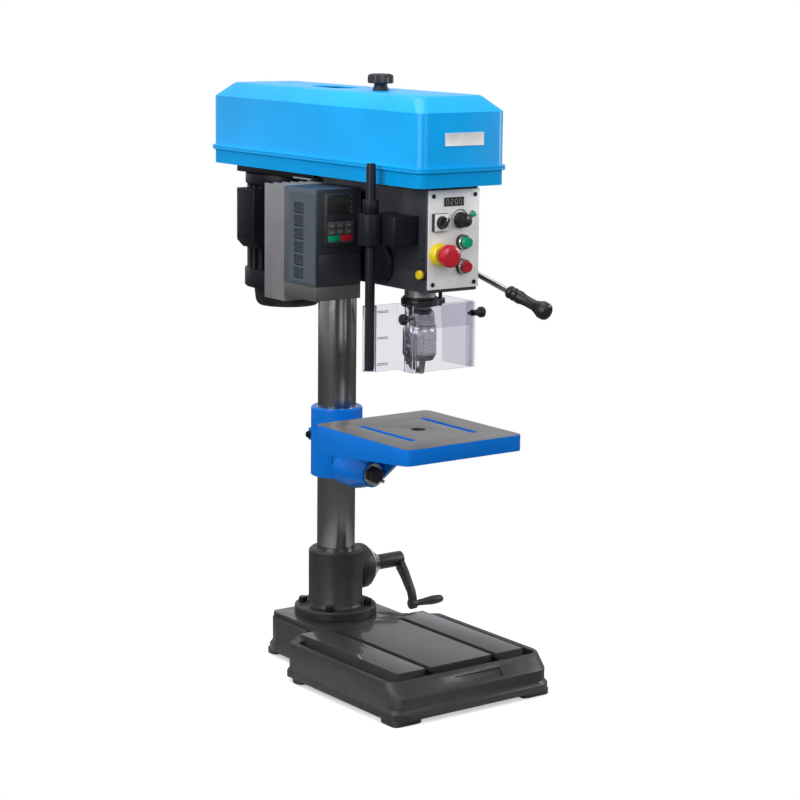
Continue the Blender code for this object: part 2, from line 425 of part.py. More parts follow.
def make_table():
    turn = Matrix.Rotation(math.radians(CLAMP_ANGLE), 4, "Z")
    bush = lathe("Z", 0, 0, [(COL_R + RUN, COLLAR_Z0 + 0.001), (BUSH_R, COLLAR_Z0 + 0.001),
                             (BUSH_R, COLLAR_Z1 - 0.001), (COL_R + RUN, COLLAR_Z1 - 0.001)], SEG_BIG)
    cut(bush, turned(box(0.030, 0.06, -0.0015, 0.0015, COLLAR_Z0 - 0.01, COLLAR_Z1 + 0.01), turn))
    finish(bush, "table_bush", "steel")
    body = lathe("Z", 0, 0, [(COL_R - 0.002, COLLAR_Z0), (COLLAR_R, COLLAR_Z0), (COLLAR_R, COLLAR_Z1 - 0.003),
                             (COLLAR_R - 0.003, COLLAR_Z1), (COL_R - 0.002, COLLAR_Z1)], SEG_BIG)
    add(body, rod("Y", 0, TILT_Z, TILT_HUB_R, TILT_PLANE_Y, -0.020, SEG_MID))
    lug = slab(0.0475, CLAMP_REACH, -0.017, 0.017, CLAMP_Z - CLAMP_HALF_H, CLAMP_Z + CLAMP_HALF_H, 0.006, 3)
    add(body, turned(lug, turn))
    cut(body, rod("Z", 0, 0, BUSH_R + RUN, COLLAR_Z0 - 0.05, COLLAR_Z1 + 0.01, SEG_BIG))
    slit = box(0.030, CLAMP_REACH + 0.01, -0.0015, 0.0015, COLLAR_Z0 - 0.01, COLLAR_Z1 + 0.01)
    hole = rod("Y", 0.0620, CLAMP_Z, 0.0048, -0.03, 0.03, 16)
    cut(body, turned(slit, turn), turned(hole, turn))
    cut(body, rod("Y", 0, TILT_Z, TILT_BOLT_R + RUN, TILT_PLANE_Y - 0.01, -0.046, 24))
    finish(body, "table_bracket", "blue")

    lever = lathe("Y", 0.0620, CLAMP_Z, [(0, 0.0240), (0.0075, 0.0240), (0.0075, 0.0173), (0.0045, 0.0173),
                                         (0.0045, -0.0175), (0.009, -0.0175), (0.009, -0.034), (0, -0.034)], 16)
    handle = prism("X", [(-0.0215, CLAMP_Z - 0.060), (-0.0305, CLAMP_Z - 0.060), (-0.0310, CLAMP_Z),
                         (-0.0210, CLAMP_Z)], 0.0575, 0.0665)
    add(lever, handle, rod("Y", 0.0620, CLAMP_Z - 0.060, 0.0075, -0.0330, -0.0190, 16))
    at = turn @ Vector((0.0620, 0, CLAMP_Z))
    finish(turned(lever, turn), "table_clamp_lever", "black", at)

    z0 = TABLE_TOP_Z - TABLE_H
    low, w = TABLE_TOP_Z - TABLE_BACK_H, TABLE_WALL
    plate = slab(-TABLE_HALF_X, TABLE_HALF_X, TABLE_FRONT_Y, TABLE_BACK_Y, low, TABLE_TOP_Z, TABLE_CORNER_R)
    cut(plate, prism("X", [(TABLE_FRONT_Y - 0.02, low - 0.02), (TABLE_BACK_Y, low - 0.02), (TABLE_BACK_Y, low),
                           (TABLE_FRONT_Y, z0), (TABLE_FRONT_Y - 0.02, z0)], -0.2, 0.2))
    cut(plate, slab(-TABLE_HALF_X + w, TABLE_HALF_X - w, TABLE_FRONT_Y + w, TABLE_BACK_Y - w, low - 0.01,
                    TABLE_TOP_Z - TABLE_SKIN, 0.006))
    back = TILT_PLANE_Y - GAP
    web = prism("X", [(back, TILT_Z), (back, z0 + 0.006), (TABLE_BACK_Y - 0.004, TABLE_TOP_Z - TABLE_SKIN + 0.004),
                      (-0.385, TABLE_TOP_Z - TABLE_SKIN + 0.004), (-0.330, z0 + 0.004), (-0.205, z0 + 0.001),
                      (TILT_FRONT_Y, TILT_Z + TILT_WASHER_R + 0.0012), (TILT_FRONT_Y, TILT_Z)], -0.018, 0.018)
    hub = [(0, back), (TILT_HUB_R, back), (TILT_HUB_R, back - 0.018), (TILT_NOSE_R, TILT_FRONT_Y + 0.010),
           (TILT_NOSE_R, TILT_FRONT_Y), (0, TILT_FRONT_Y)]
    under = TABLE_TOP_Z - TABLE_SKIN + 0.004
    gusset = prism("X", [(-0.068, TILT_Z - 0.014), (-0.124, TILT_Z - 0.014), (-0.252, z0 + 0.002), (-0.252, under),
                         (-0.100, under), (-0.068, TILT_Z + 0.030)], 0.0262, 0.0350)
    add(plate, web, lathe("Y", 0, TILT_Z, hub, SEG_MID), gusset)
    cut(plate, rod("Y", 0, TILT_Z, TILT_BOLT_R + RUN, TILT_FRONT_Y - 0.01, back + 0.01, 24))
    cut(plate, rod("Z", 0, SPIN_Y, TABLE_HOLE_R, z0 - 0.05, TABLE_TOP_Z + 0.01, 32))
    for x in (-TABLE_SLOT_X, TABLE_SLOT_X):
        cut(plate, slab(x - TABLE_SLOT_W / 2, x + TABLE_SLOT_W / 2, TABLE_SLOT_Y0, TABLE_SLOT_Y1, z0 - 0.01,
                        TABLE_TOP_Z + 0.01, TABLE_SLOT_W / 2 - 0.0001, 5))
    finish(plate, "table_top", "blue", (0, TILT_PLANE_Y, TILT_Z))

    w0 = TILT_FRONT_Y - GAP
    bolt = lathe("Y", 0, TILT_Z, [(0, -0.048), (TILT_BOLT_R, -0.048), (TILT_BOLT_R, w0), (TILT_WASHER_R, w0),
                                  (TILT_WASHER_R, w0 - 0.003), (0, w0 - 0.003)], 32)
    add(bolt, prism("Y", circle(0, TILT_Z, TILT_BOLT_AF / math.sqrt(3), 6), w0 - 0.0145, w0 - 0.002))
    finish(bolt, "tilt_bolt", "black", (0, TILT_PLANE_Y, TILT_Z))


def make_head():
    feed_y = SPIN_Y + QUILL_RACK + FEED_MODULE * FEED_TEETH / 2
    body = slab(-HEAD_HALF_X, HEAD_HALF_X, HEAD_FRONT_Y, -0.045, HEAD_Z0, HEAD_Z1, 0.005, 3)
    add(body, rod("Z", 0, 0, HEAD_REAR_R, HEAD_Z0, HEAD_Z1, SEG_BIG))
    add(body, box(-0.045, 0.045, -0.060, 0.0, HEAD_Z0 + 0.001, HEAD_Z1 - 0.001))
    cut(body, box(-0.09, 0.09, -0.0157, 0.09, HEAD_REAR_TOP_Z, HEAD_Z1 + 0.01))
    cut(body, rod("Z", 0, 0, COL_R + RUN, HEAD_Z0 - 0.01, HEAD_Z1 + 0.01, SEG_BIG))
    cut(body, box(-0.050, 0.050, HEAD_FRONT_Y - 0.01, -0.338, 0.836, 1.011))
    cut(body, rod("X", SIDE_Y, SIDE_Z, 0.006 + RUN, -HEAD_HALF_X - 0.01, -0.045, 16))
    cut(body, rod("Z", 0, SPIN_Y, QUILL_R + RUN, HEAD_Z0 - 0.01, 0.985, SEG_BIG))
    cut(body, rod("Z", 0, SPIN_Y, 0.0163, 0.98, HEAD_Z1 + 0.01, SEG_MID))
    cut(body, rod("X", feed_y, FEED_Z, 0.009 + RUN, -HEAD_HALF_X - 0.01, -0.012, 22))
    cut(body, rod("X", feed_y, FEED_Z, FEED_JOURNAL_R + RUN + 0.0003, -0.0135, HEAD_HALF_X + 0.01, SEG_MID))
    cut(body, rod("Z", STOP_X, STOP_Y, STOP_R + 0.0005, HEAD_Z0 - 0.01, 0.935, 16))
    finish(body, "head_casting", "dark")

    y0 = HEAD_FRONT_Y - GAP
    panel = box(-HEAD_HALF_X, HEAD_HALF_X, y0 - PANEL_T, y0, PANEL_Z0, PANEL_Z1)
    front = y0 - PANEL_T
    for x, z in (START_XZ, STOP_XZ):
        add(panel, rod("Y", x, z, BEZEL_R, front - BEZEL_L, front + 0.001, 20))
    dx, dz = DISPLAY_W / 2, DISPLAY_H / 2
    add(panel, box(DISPLAY_XZ[0] - dx, DISPLAY_XZ[0] + dx, front - 0.0018, front + 0.001,
                   DISPLAY_XZ[1] - dz, DISPLAY_XZ[1] + dz))
    for x, z in ((-0.0505, 1.0087), (0.0505, 1.0087), (-0.0505, 0.8384), (0.0505, 0.8384)):
        add(panel, rod("Y", x, z, 0.0042, front - 0.0022, front + 0.001, 12))
    add(panel, lathe("Y", *LAMP_XZ, [(0, front + 0.001), (0.0070, front + 0.001), (0.0070, front - 0.004),
                                     (0.0052, front - 0.009), (0, front - 0.009)], 16))
    for (x, z), r in ((START_XZ, BUTTON_R), (STOP_XZ, BUTTON_R), (ESTOP_XZ, BUTTON_R), (SELECT_XZ, 0.005),
                      (DIAL_XZ, 0.003)):
        cut(panel, rod("Y", x, z, r + RUN, front - 0.04, y0 + 0.01, 16))
    finish(panel, "control_panel", "white")
    wall = front - GAP

    for (x, z), name, colour in ((START_XZ, "start_button", "green"), (STOP_XZ, "stop_button", "red")):
        cap = front - BEZEL_L - 0.009
        push = lathe("Y", x, z, [(0, -0.350), (BUTTON_R, -0.350), (BUTTON_R, cap + 0.001),
                                 (BUTTON_R - 0.001, cap), (0, cap)], 24)
        finish(push, name, colour, (x, front, z))
    x, z = ESTOP_XZ
    hole = BUTTON_R + RUN
    plate = lathe("Y", x, z, [(hole, wall), (ESTOP_BASE_R, wall), (ESTOP_BASE_R - 0.001, wall - 0.014),
                              (ESTOP_BASE_R - 0.003, wall - 0.016), (hole, wall - 0.016)], 24)
    finish(plate, "estop_base", "yellow")
    stop = lathe("Y", x, z, [(0, -0.350), (BUTTON_R, -0.350), (BUTTON_R, -0.412), (ESTOP_HEAD_R - 0.004, -0.4125),
                             (ESTOP_HEAD_R, -0.418), (ESTOP_HEAD_R, -0.429), (ESTOP_HEAD_R - 0.004, -0.4345),
                             (0.008, -0.436), (0, -0.436)], 24)
    finish(stop, "estop_button", "red", (x, front, z))
    x, z = SELECT_XZ
    frame = box(x - 0.017, x + 0.017, wall - 0.010, wall, z - 0.017, z + 0.017)
    cut(frame, rod("Y", x, z, 0.005 + RUN, wall - 0.02, wall + 0.01, 20))
    finish(frame, "selector_body", "black")
    s0 = wall - 0.010 - GAP
    knob = lathe("Y", x, z, [(0, -0.372), (0.005, -0.372), (0.005, s0), (0.011, s0), (0.011, s0 - 0.006),
                             (0, s0 - 0.006)], 24)
    add(knob, box(x - 0.0035, x + 0.0035, s0 - 0.0165, s0 - 0.005, z - 0.0108, z + 0.0108))
    finish(knob, "selector_knob", "black", (x, wall, z))
    x, z = DIAL_XZ
    dial = lathe("Y", x, z, [(0, -0.372), (0.003, -0.372), (0.003, wall), (DIAL_R, wall), (DIAL_R, wall - 0.006),
                             (0.0128, wall - 0.008), (0.0118, wall - DIAL_L), (0, wall - DIAL_L)], 20)
    add(dial, box(x - 0.0008, x + 0.0008, wall - DIAL_L - 0.0008, wall - 0.020, z + 0.001, z + 0.0100))
    finish(dial, "speed_dial", "black", (x, wall, z))
    push = lathe("X", SIDE_Y, SIDE_Z, [(0, -0.049), (0.006, -0.049), (0.006, -0.0665), (SIDE_R, -0.0665),
                                       (SIDE_R, -0.0735), (SIDE_R - 0.002, -0.0745), (0, -0.0745)], 20)
    finish(push, "side_button", "yellow", (-HEAD_HALF_X, SIDE_Y, SIDE_Z))

    c0 = -HEAD_HALF_X - GAP
    cap = lathe("X", feed_y, FEED_Z, [(0, c0 - CAP_H), (CAP_R - 0.003, c0 - CAP_H), (CAP_R, c0 - CAP_H + 0.003),
                                      (CAP_R, c0), (CAP_R - 0.004, c0), (CAP_R - 0.004, c0 - CAP_H + 0.004),
                                      (0, c0 - CAP_H + 0.004)], SEG_MID)
    finish(cap, "spring_cap", "dark")


def make_feed():
    feed_y = SPIN_Y + QUILL_RACK + FEED_MODULE * FEED_TEETH / 2
    half = FEED_FACE / 2
    gear = gear_outline(FEED_MODULE, FEED_TEETH, math.pi)
    shaft = prism("X", [(feed_y + a, FEED_Z + b) for a, b in gear], -half, half)
    add(shaft, lathe("X", feed_y, FEED_Z, [(0, -0.0640), (0.009, -0.0640), (0.009, -half + 0.001),
                                           (0, -half + 0.001)], 24))
    add(shaft, lathe("X", feed_y, FEED_Z, [
        (0, half - 0.001), (0.0115, half - 0.001), (0.0115, 0.0180), (FEED_JOURNAL_R, 0.0180),
        (FEED_JOURNAL_R, HEAD_HALF_X - 0.001), (FEED_SHAFT_R, HEAD_HALF_X - 0.001),
        (FEED_SHAFT_R, FEED_HUB_X1 - 0.008), (0, FEED_HUB_X1 - 0.008)], 24))
    finish(shaft, "feed_shaft", "steel", (0, feed_y, FEED_Z))

    h0 = HEAD_HALF_X + 0.0008
    hub = lathe("X", feed_y, FEED_Z, [
        (0, FEED_HUB_X1), (0.022, FEED_HUB_X1), (FEED_HUB_R, FEED_HUB_X1 - 0.008), (FEED_HUB_R, 0.088),
        (0.024, 0.080), (0.024, h0), (0, h0)], SEG_MID)
    cut(hub, rod("X", feed_y, FEED_Z, FEED_SHAFT_R + RUN, h0 - 0.01, FEED_HUB_X1 - 0.0075, 32))
    levers = []
    for i in range(3):
        profile = [(0, 0.0125), (LEVER_R, 0.0125), (LEVER_R, LEVER_GRIP)]
        profile += [(r, LEVER_GRIP + s) for r, s in GRIP_SHAPE] + [(0, LEVER_REACH)]
        lean = Matrix.Rotation(math.atan(LEVER_LEAN), 4, "Y")
        swing = Matrix.Rotation(math.radians(90 + LEVER_DROP + 120 * i), 4, "X")
        place = Matrix.Translation((LEVER_X, feed_y, FEED_Z)) @ swing @ lean
        grow = math.sqrt(1 + LEVER_LEAN ** 2)
        lever = lathe("Z", 0, 0, [(r, s * grow) for r, s in profile], 14)
        turned(lever, place)
        hole = rod("Z", 0, 0, LEVER_R + RUN, 0.0122 * grow, 0.05, 14)
        cut(hub, turned(hole, place))
        levers.append(lever)
    finish(hub, "feed_hub", "black", (0, feed_y, FEED_Z))
    for i, lever in enumerate(levers):
        finish(lever, f"feed_lever_{i + 1}", "steel", (LEVER_X, feed_y, FEED_Z))


def make_spindle():
    y = SPIN_Y
    quill = lathe("Z", 0, y, [
        (QUILL_BORE_R, QUILL_NOSE_Z), (QUILL_NOSE_R, QUILL_NOSE_Z), (QUILL_NOSE_R, QUILL_Z0), (QUILL_R, QUILL_Z0),
        (QUILL_R, QUILL_Z1), (QUILL_BORE_R, QUILL_Z1)], SEG_BIG)
    cut(quill, rack_cutter(FEED_MODULE, QUILL_RACK, FEED_Z, FEED_Z - 0.018, FEED_Z + FEED_TRAVEL + 0.015,
                           FEED_FACE / 2 + 0.0015, y))
    finish(quill, "quill", "steel", (0, y, QUILL_Z0))

    z1 = QUILL_Z0 - GAP
    ring = lathe("Z", 0, y, [(QUILL_NOSE_R + RUN, z1 - 0.0155), (0.036, z1 - 0.0155), (0.038, z1 - 0.0135),
                             (0.038, z1), (QUILL_NOSE_R + RUN, z1)], SEG_MID)
    arm = rounded([(0.024, y - 0.020, 0.003), (0.053, y - 0.017, 0.007), (0.053, y + 0.003, 0.007),
                   (0.024, y + 0.006, 0.003)], 3)
    add(ring, prism("Z", arm, z1 - 0.013, z1 - 0.001))
    cut(ring, rod("Z", 0, y, QUILL_NOSE_R + RUN, z1 - 0.03, z1 + 0.01, SEG_MID))
    add(ring, lathe("Z", STOP_X, STOP_Y, [(0, z1 - 0.020), (0.0055, z1 - 0.020), (0.0055, z1 - 0.013),
                                          (STOP_R, z1 - 0.012), (STOP_R, 0.925), (0, 0.925)], 12))
    finish(ring, "quill_collar", "black", (0, y, QUILL_Z0))

    shaft = lathe("Z", 0, y, [
        (0, ARBOR_Z), (ARBOR_R, ARBOR_Z), (ARBOR_R, CHUCK_Z1 + GAP), (SPINDLE_R, CHUCK_Z1 + GAP),
        (SPINDLE_R, SPINDLE_STEP_Z), (SPLINE_R, SPINDLE_STEP_Z), (SPLINE_R, SPINDLE_TOP_Z), (0, SPINDLE_TOP_Z)], 20)
    finish(shaft, "spindle", "steel", (0, y, QUILL_Z0))
    body = lathe("Z", 0, y, [
        (0, CHUCK_Z0), (0.019, CHUCK_Z0), (CHUCK_R, CHUCK_Z0 + 0.010), (CHUCK_R, CHUCK_SPLIT_Z + GAP),
        (CHUCK_TOP_R, CHUCK_SPLIT_Z + GAP), (CHUCK_TOP_R, CHUCK_Z1 - 0.012), (0.020, CHUCK_Z1), (0, CHUCK_Z1)], 28)
    cut(body, rod("Z", 0, y, ARBOR_R + RUN, ARBOR_Z - GAP, CHUCK_Z1 + 0.01, 24))
    reach = math.tan(math.radians(JAW_LEAN))
    jaws = []
    for i in range(3):
        turn = Matrix.Translation((0, y, 0)) @ Matrix.Rotation(math.radians(120 * i + 30), 4, "Z")
        start = JAW_FACE + 0.0034

        def leaning(r, z0, z1, seg):
            low, high = start + (z0 - JAW_TIP_Z) * reach, start + (z1 - JAW_TIP_Z) * reach
            loops = [[(at + a, b, z) for a, b in circle(0, 0, r, seg)] for at, z in ((low, z0), (high, z1))]
            return loft(loops)

        jaw = leaning(JAW_R, JAW_TIP_Z, JAW_TOP_Z, 14)
        f, w, t = JAW_FACE, 0.0008, 0.024
        wedge = [(f, -w), (f + t, -w - 1.6 * t), (f + t + 0.02, -w), (f + t + 0.02, w), (f + t, w + 1.6 * t), (f, w)]
        combine(jaw, prism("Z", wedge, JAW_TIP_Z - 0.01, JAW_TOP_Z + 0.01), "INTERSECT")
        cut(body, turned(leaning(JAW_R + RUN, CHUCK_Z0 - 0.005, JAW_TOP_Z + 0.0006, 14), turn))
        jaws.append(turned(jaw, turn))
    finish(body, "chuck_body", "steel", (0, y, QUILL_Z0))
    for i, jaw in enumerate(jaws):
        finish(jaw, f"chuck_jaw_{i + 1}", "steel", (0, y, JAW_TIP_Z))
    inner = CHUCK_R + RUN
    sleeve = lathe("Z", 0, y, [
        (inner, SLEEVE_Z0), (SLEEVE_R - 0.006, SLEEVE_Z0), (SLEEVE_R - 0.001, SLEEVE_Z0 + 0.009),
        (SLEEVE_R, SLEEVE_Z0 + 0.010), (SLEEVE_R, CHUCK_SPLIT_Z - 0.010), (SLEEVE_R - 0.001, CHUCK_SPLIT_Z - 0.009),
        (SLEEVE_R - 0.002, CHUCK_SPLIT_Z), (inner, CHUCK_SPLIT_Z)], 28)
    finish(sleeve, "chuck_sleeve", "steel", (0, y, SLEEVE_Z0))


def cover_outline(grow, in_x=0.0, in_y=0.0):
    x = COVER_HALF_X + grow - in_x
    y0, y1 = COVER_FRONT_Y - grow + in_y, COVER_BACK_Y + grow - in_y
    r = COVER_CORNER_R + grow
    return rounded([(-x, y0, r), (x, y0, r), (x, y1, r), (-x, y1, r)], 5)


def pulley_profile(steps, bore, foot):
    out = [(bore, foot[0]), (foot[1], foot[0]), (foot[1], PULLEY_Z0)]
    for i, r in enumerate(steps):
        z = PULLEY_Z0 + i * GROOVE_PITCH
        side = (GROOVE_PITCH - GROOVE_W) / 2
        out += [(r, z), (r, z + side), (r - GROOVE_D, z + side + 0.002), (r - GROOVE_D, z + side + GROOVE_W - 0.002),
                (r, z + side + GROOVE_W), (r, z + GROOVE_PITCH)]
    out.append((bore, PULLEY_Z0 + len(steps) * GROOVE_PITCH))
    return out


def make_drive():
    z0, z1, w = COVER_Z0, COVER_SEAM_Z, COVER_WALL
    levels = [(z0, 0), (z1 - 0.006, 0), (z1 - 0.0045, COVER_LIP), (z1 - GAP, COVER_LIP)]
    pan = loft([[(x, y, z) for x, y in cover_outline(g)] for z, g in levels])
    cut(pan, prism("Z", cover_outline(-w), z0 + w, z1 + 0.01))
    cut(pan, rod("Z", 0, SPIN_Y, 0.020, z0 - 0.01, z0 + 0.01, SEG_MID))
    cut(pan, rod("Z", 0, MOTOR_Y, 0.020, z0 - 0.01, z0 + 0.01, SEG_MID))
    add(pan, rod("Z", 0, KNOB_Y, 0.0045, z0 + 0.001, KNOB_Z0 - 0.004, 16))
    finish(pan, "belt_cover_base", "blue")

    outer = [(z1, COVER_LIP, 0, 0), (z1 + 0.0045, COVER_LIP, 0, 0), (z1 + 0.006, 0, 0, 0), (COVER_BEVEL_Z, 0, 0, 0),
             (COVER_TOP_Z - 0.003, 0, COVER_TOP_IN_X - 0.004, COVER_TOP_IN_Y - 0.004),
             (COVER_TOP_Z, 0, COVER_TOP_IN_X, COVER_TOP_IN_Y)]
    lid = loft([[(x, y, z) for x, y in cover_outline(g, ix, iy)] for z, g, ix, iy in outer])
    inner = [(z1 - 0.01, -w, 0, 0), (COVER_BEVEL_Z - 0.001, -w, 0, 0),
             (COVER_TOP_Z - w, -w, COVER_TOP_IN_X - 0.002, COVER_TOP_IN_Y - 0.002)]
    cut(lid, loft([[(x, y, z) for x, y in cover_outline(g, ix, iy)] for z, g, ix, iy in inner]))
    cut(lid, slab(-OVAL_X, OVAL_X, OVAL_MID_Y - OVAL_Y, OVAL_MID_Y + OVAL_Y, COVER_TOP_Z - 0.01, COVER_TOP_Z + 0.01, OVAL_X - 0.0002, 6))
    cut(lid, rod("Z", 0, KNOB_Y, 0.0055, COVER_TOP_Z - 0.01, COVER_TOP_Z + 0.01, 16))
    finish(lid, "belt_cover_lid", "blue")
    foot = COVER_TOP_Z + GAP
    lobes = []
    for i in range(28):
        a = 2 * math.pi * i / 28
        r = KNOB_R - 0.0035 * (0.5 - 0.5 * math.cos(7 * a))
        lobes.append((r * math.cos(a), KNOB_Y + r * math.sin(a)))
    knob = prism("Z", lobes, KNOB_Z0, KNOB_Z1)
    add(knob, rod("Z", 0, KNOB_Y, KNOB_STEM_R, foot, KNOB_Z0 + 0.002, 28))
    cut(knob, rod("Z", 0, KNOB_Y, 0.0045 + RUN, foot - 0.01, KNOB_Z0 - 0.003, 16))
    finish(knob, "lid_knob", "black", (0, KNOB_Y, foot))
    badge = box(-0.0465, 0.0465, COVER_FRONT_Y - GAP - 0.0015, COVER_FRONT_Y - GAP, 1.1055, 1.1305)
    finish(badge, "badge_plate", "alloy")

    pulley = lathe("Z", 0, SPIN_Y, pulley_profile(SPINDLE_STEPS, SPLINE_R + RUN, (0.990, 0.016)), 22)
    finish(pulley, "spindle_pulley", "alloy", (0, SPIN_Y, PULLEY_Z0))
    top = pulley_profile(MOTOR_STEPS, 0.0, (0.975, MOTOR_SHAFT_R))
    motor_pulley = lathe("Z", 0, MOTOR_Y, [(0, 0.975)] + top[1:-1] + [(0, top[-1][1])], 22)
    finish(motor_pulley, "motor_pulley", "alloy", (0, MOTOR_Y, PULLEY_Z0))
    mid = PULLEY_Z0 + (BELT_STEP + 0.5) * GROOVE_PITCH
    r1, r2, gap = SPINDLE_STEPS[BELT_STEP], MOTOR_STEPS[BELT_STEP], MOTOR_Y - SPIN_Y
    wrap = math.acos((r1 - r2) / gap)

    def belt_loop(grow, z):
        out = []
        for k in range(13):
            a = wrap + (2 * math.pi - 2 * wrap) * k / 12
            out.append(((r1 + grow) * math.sin(a), SPIN_Y + (r1 + grow) * math.cos(a), z))
        for k in range(13):
            a = -wrap + 2 * wrap * k / 12
            out.append(((r2 + grow) * math.sin(a), MOTOR_Y + (r2 + grow) * math.cos(a), z))
        return out

    belt = loft([belt_loop(-0.0058, mid - 0.0026), belt_loop(0.0006, mid - 0.0040),
                 belt_loop(0.0006, mid + 0.0040), belt_loop(-0.0058, mid + 0.0026)], closed=True)
    finish(belt, "drive_belt", "black")

    p0, p1 = HEAD_REAR_TOP_Z + GAP, COVER_Z0 - GAP
    plate = slab(-0.074, 0.074, -0.0150, 0.276, p0, p1, 0.008, 3)
    cut(plate, rod("Z", 0, MOTOR_Y, 0.012, p0 - 0.01, p1 + 0.01, 24))
    finish(plate, "motor_plate", "alloy")
    fins = []
    for i in range(26):
        for r, t in ((MOTOR_R, -0.22), (MOTOR_R, 0.22), (MOTOR_R - 0.010, 0.28), (MOTOR_R - 0.010, 0.72)):
            a = 2 * math.pi * (i + t) / 26
            fins.append((r * math.cos(a), MOTOR_Y + r * math.sin(a)))
    motor = prism("Z", fins, MOTOR_Z0, MOTOR_Z1)
    add(motor, lathe("Z", 0, MOTOR_Y, [(0, 0.976), (0.074, 0.976), (MOTOR_FLANGE_R, 0.990), (MOTOR_FLANGE_R, p0 - GAP),
                                       (0, p0 - GAP)], SEG_MID))
    add(motor, lathe("Z", 0, MOTOR_Y, [(0, MOTOR_Z0 - 0.0005), (MOTOR_RING_R - 0.002, MOTOR_Z0 - 0.0005),
                                       (MOTOR_RING_R, MOTOR_Z0 + 0.002), (MOTOR_RING_R, MOTOR_RING_Z),
                                       (0.072, MOTOR_RING_Z + 0.004), (0, MOTOR_RING_Z + 0.004)], SEG_MID))
    lid = prism("Y", [(-0.1085, 0.871), (-0.1085, 0.981), (-0.066, 0.981), (-0.066, 0.856), (-0.0935, 0.856)],
                MOTOR_Y - 0.031, MOTOR_Y + 0.031)
    add(motor, lid)
    cut(motor, rod("Z", 0, MOTOR_Y, MOTOR_SHAFT_R + RUN, 0.970, 1.02, 24))
    finish(motor, "motor_body", "dark")
    t = MOTOR_Z0 - 0.0005 - GAP
    cowl = lathe("Z", 0, MOTOR_Y, [(0, COWL_Z0), (COWL_R - 0.010, COWL_Z0), (COWL_R - 0.003, COWL_Z0 + 0.012), (COWL_R, t),
                                   (COWL_R - 0.003, t), (COWL_R - 0.006, COWL_Z0 + 0.013),
                                   (COWL_R - 0.012, COWL_Z0 + 0.003), (0, COWL_Z0 + 0.003)], SEG_MID)
    finish(cowl, "fan_cowl", "black")


def make_inverter():
    shell = slab(INV_X0, INV_X1, INV_Y0, INV_Y1, INV_SPLIT_Z, INV_Z1, 0.004, 3)
    add(shell, slab(-0.171, -0.100, INV_Y0 - 0.0035, INV_Y0 + 0.004, 0.901, 1.0035, 0.002, 2))
    for i in range(6):
        z = VENT_Z + VENT_PITCH * i
        cut(shell, box(INV_X0 - 0.01, INV_X0 + 0.004, VENT_Y0, VENT_Y1, z, z + VENT_H))
    finish(shell, "inverter_housing", "slate")
    strip = slab(INV_X0 + 0.001, INV_X1, INV_Y0 + 0.001, INV_Y1, INV_Z0, INV_SPLIT_Z - GAP, 0.003, 2)
    finish(strip, "inverter_terminal_cover", "dark")
    low = SINK_Z0
    sink = box(INV_X0 + 0.003, INV_X1, INV_Y1 + GAP + 0.0005, SINK_Y0, low, INV_Z1)
    for i in range(6):
        x = INV_X0 + 0.003 + i * 0.0206
        add(sink, box(x, x + 0.0045, SINK_Y0 - 0.001, SINK_Y1, low + 0.0005, INV_Z1 - 0.0005))
    add(sink, box(INV_X1 - 0.005, -HEAD_HALF_X - GAP, INV_Y1 + GAP + 0.0010, SINK_Y0 - 0.0005, low + 0.03, INV_Z1 - 0.004))
    finish(sink, "inverter_heatsink", "alloy")


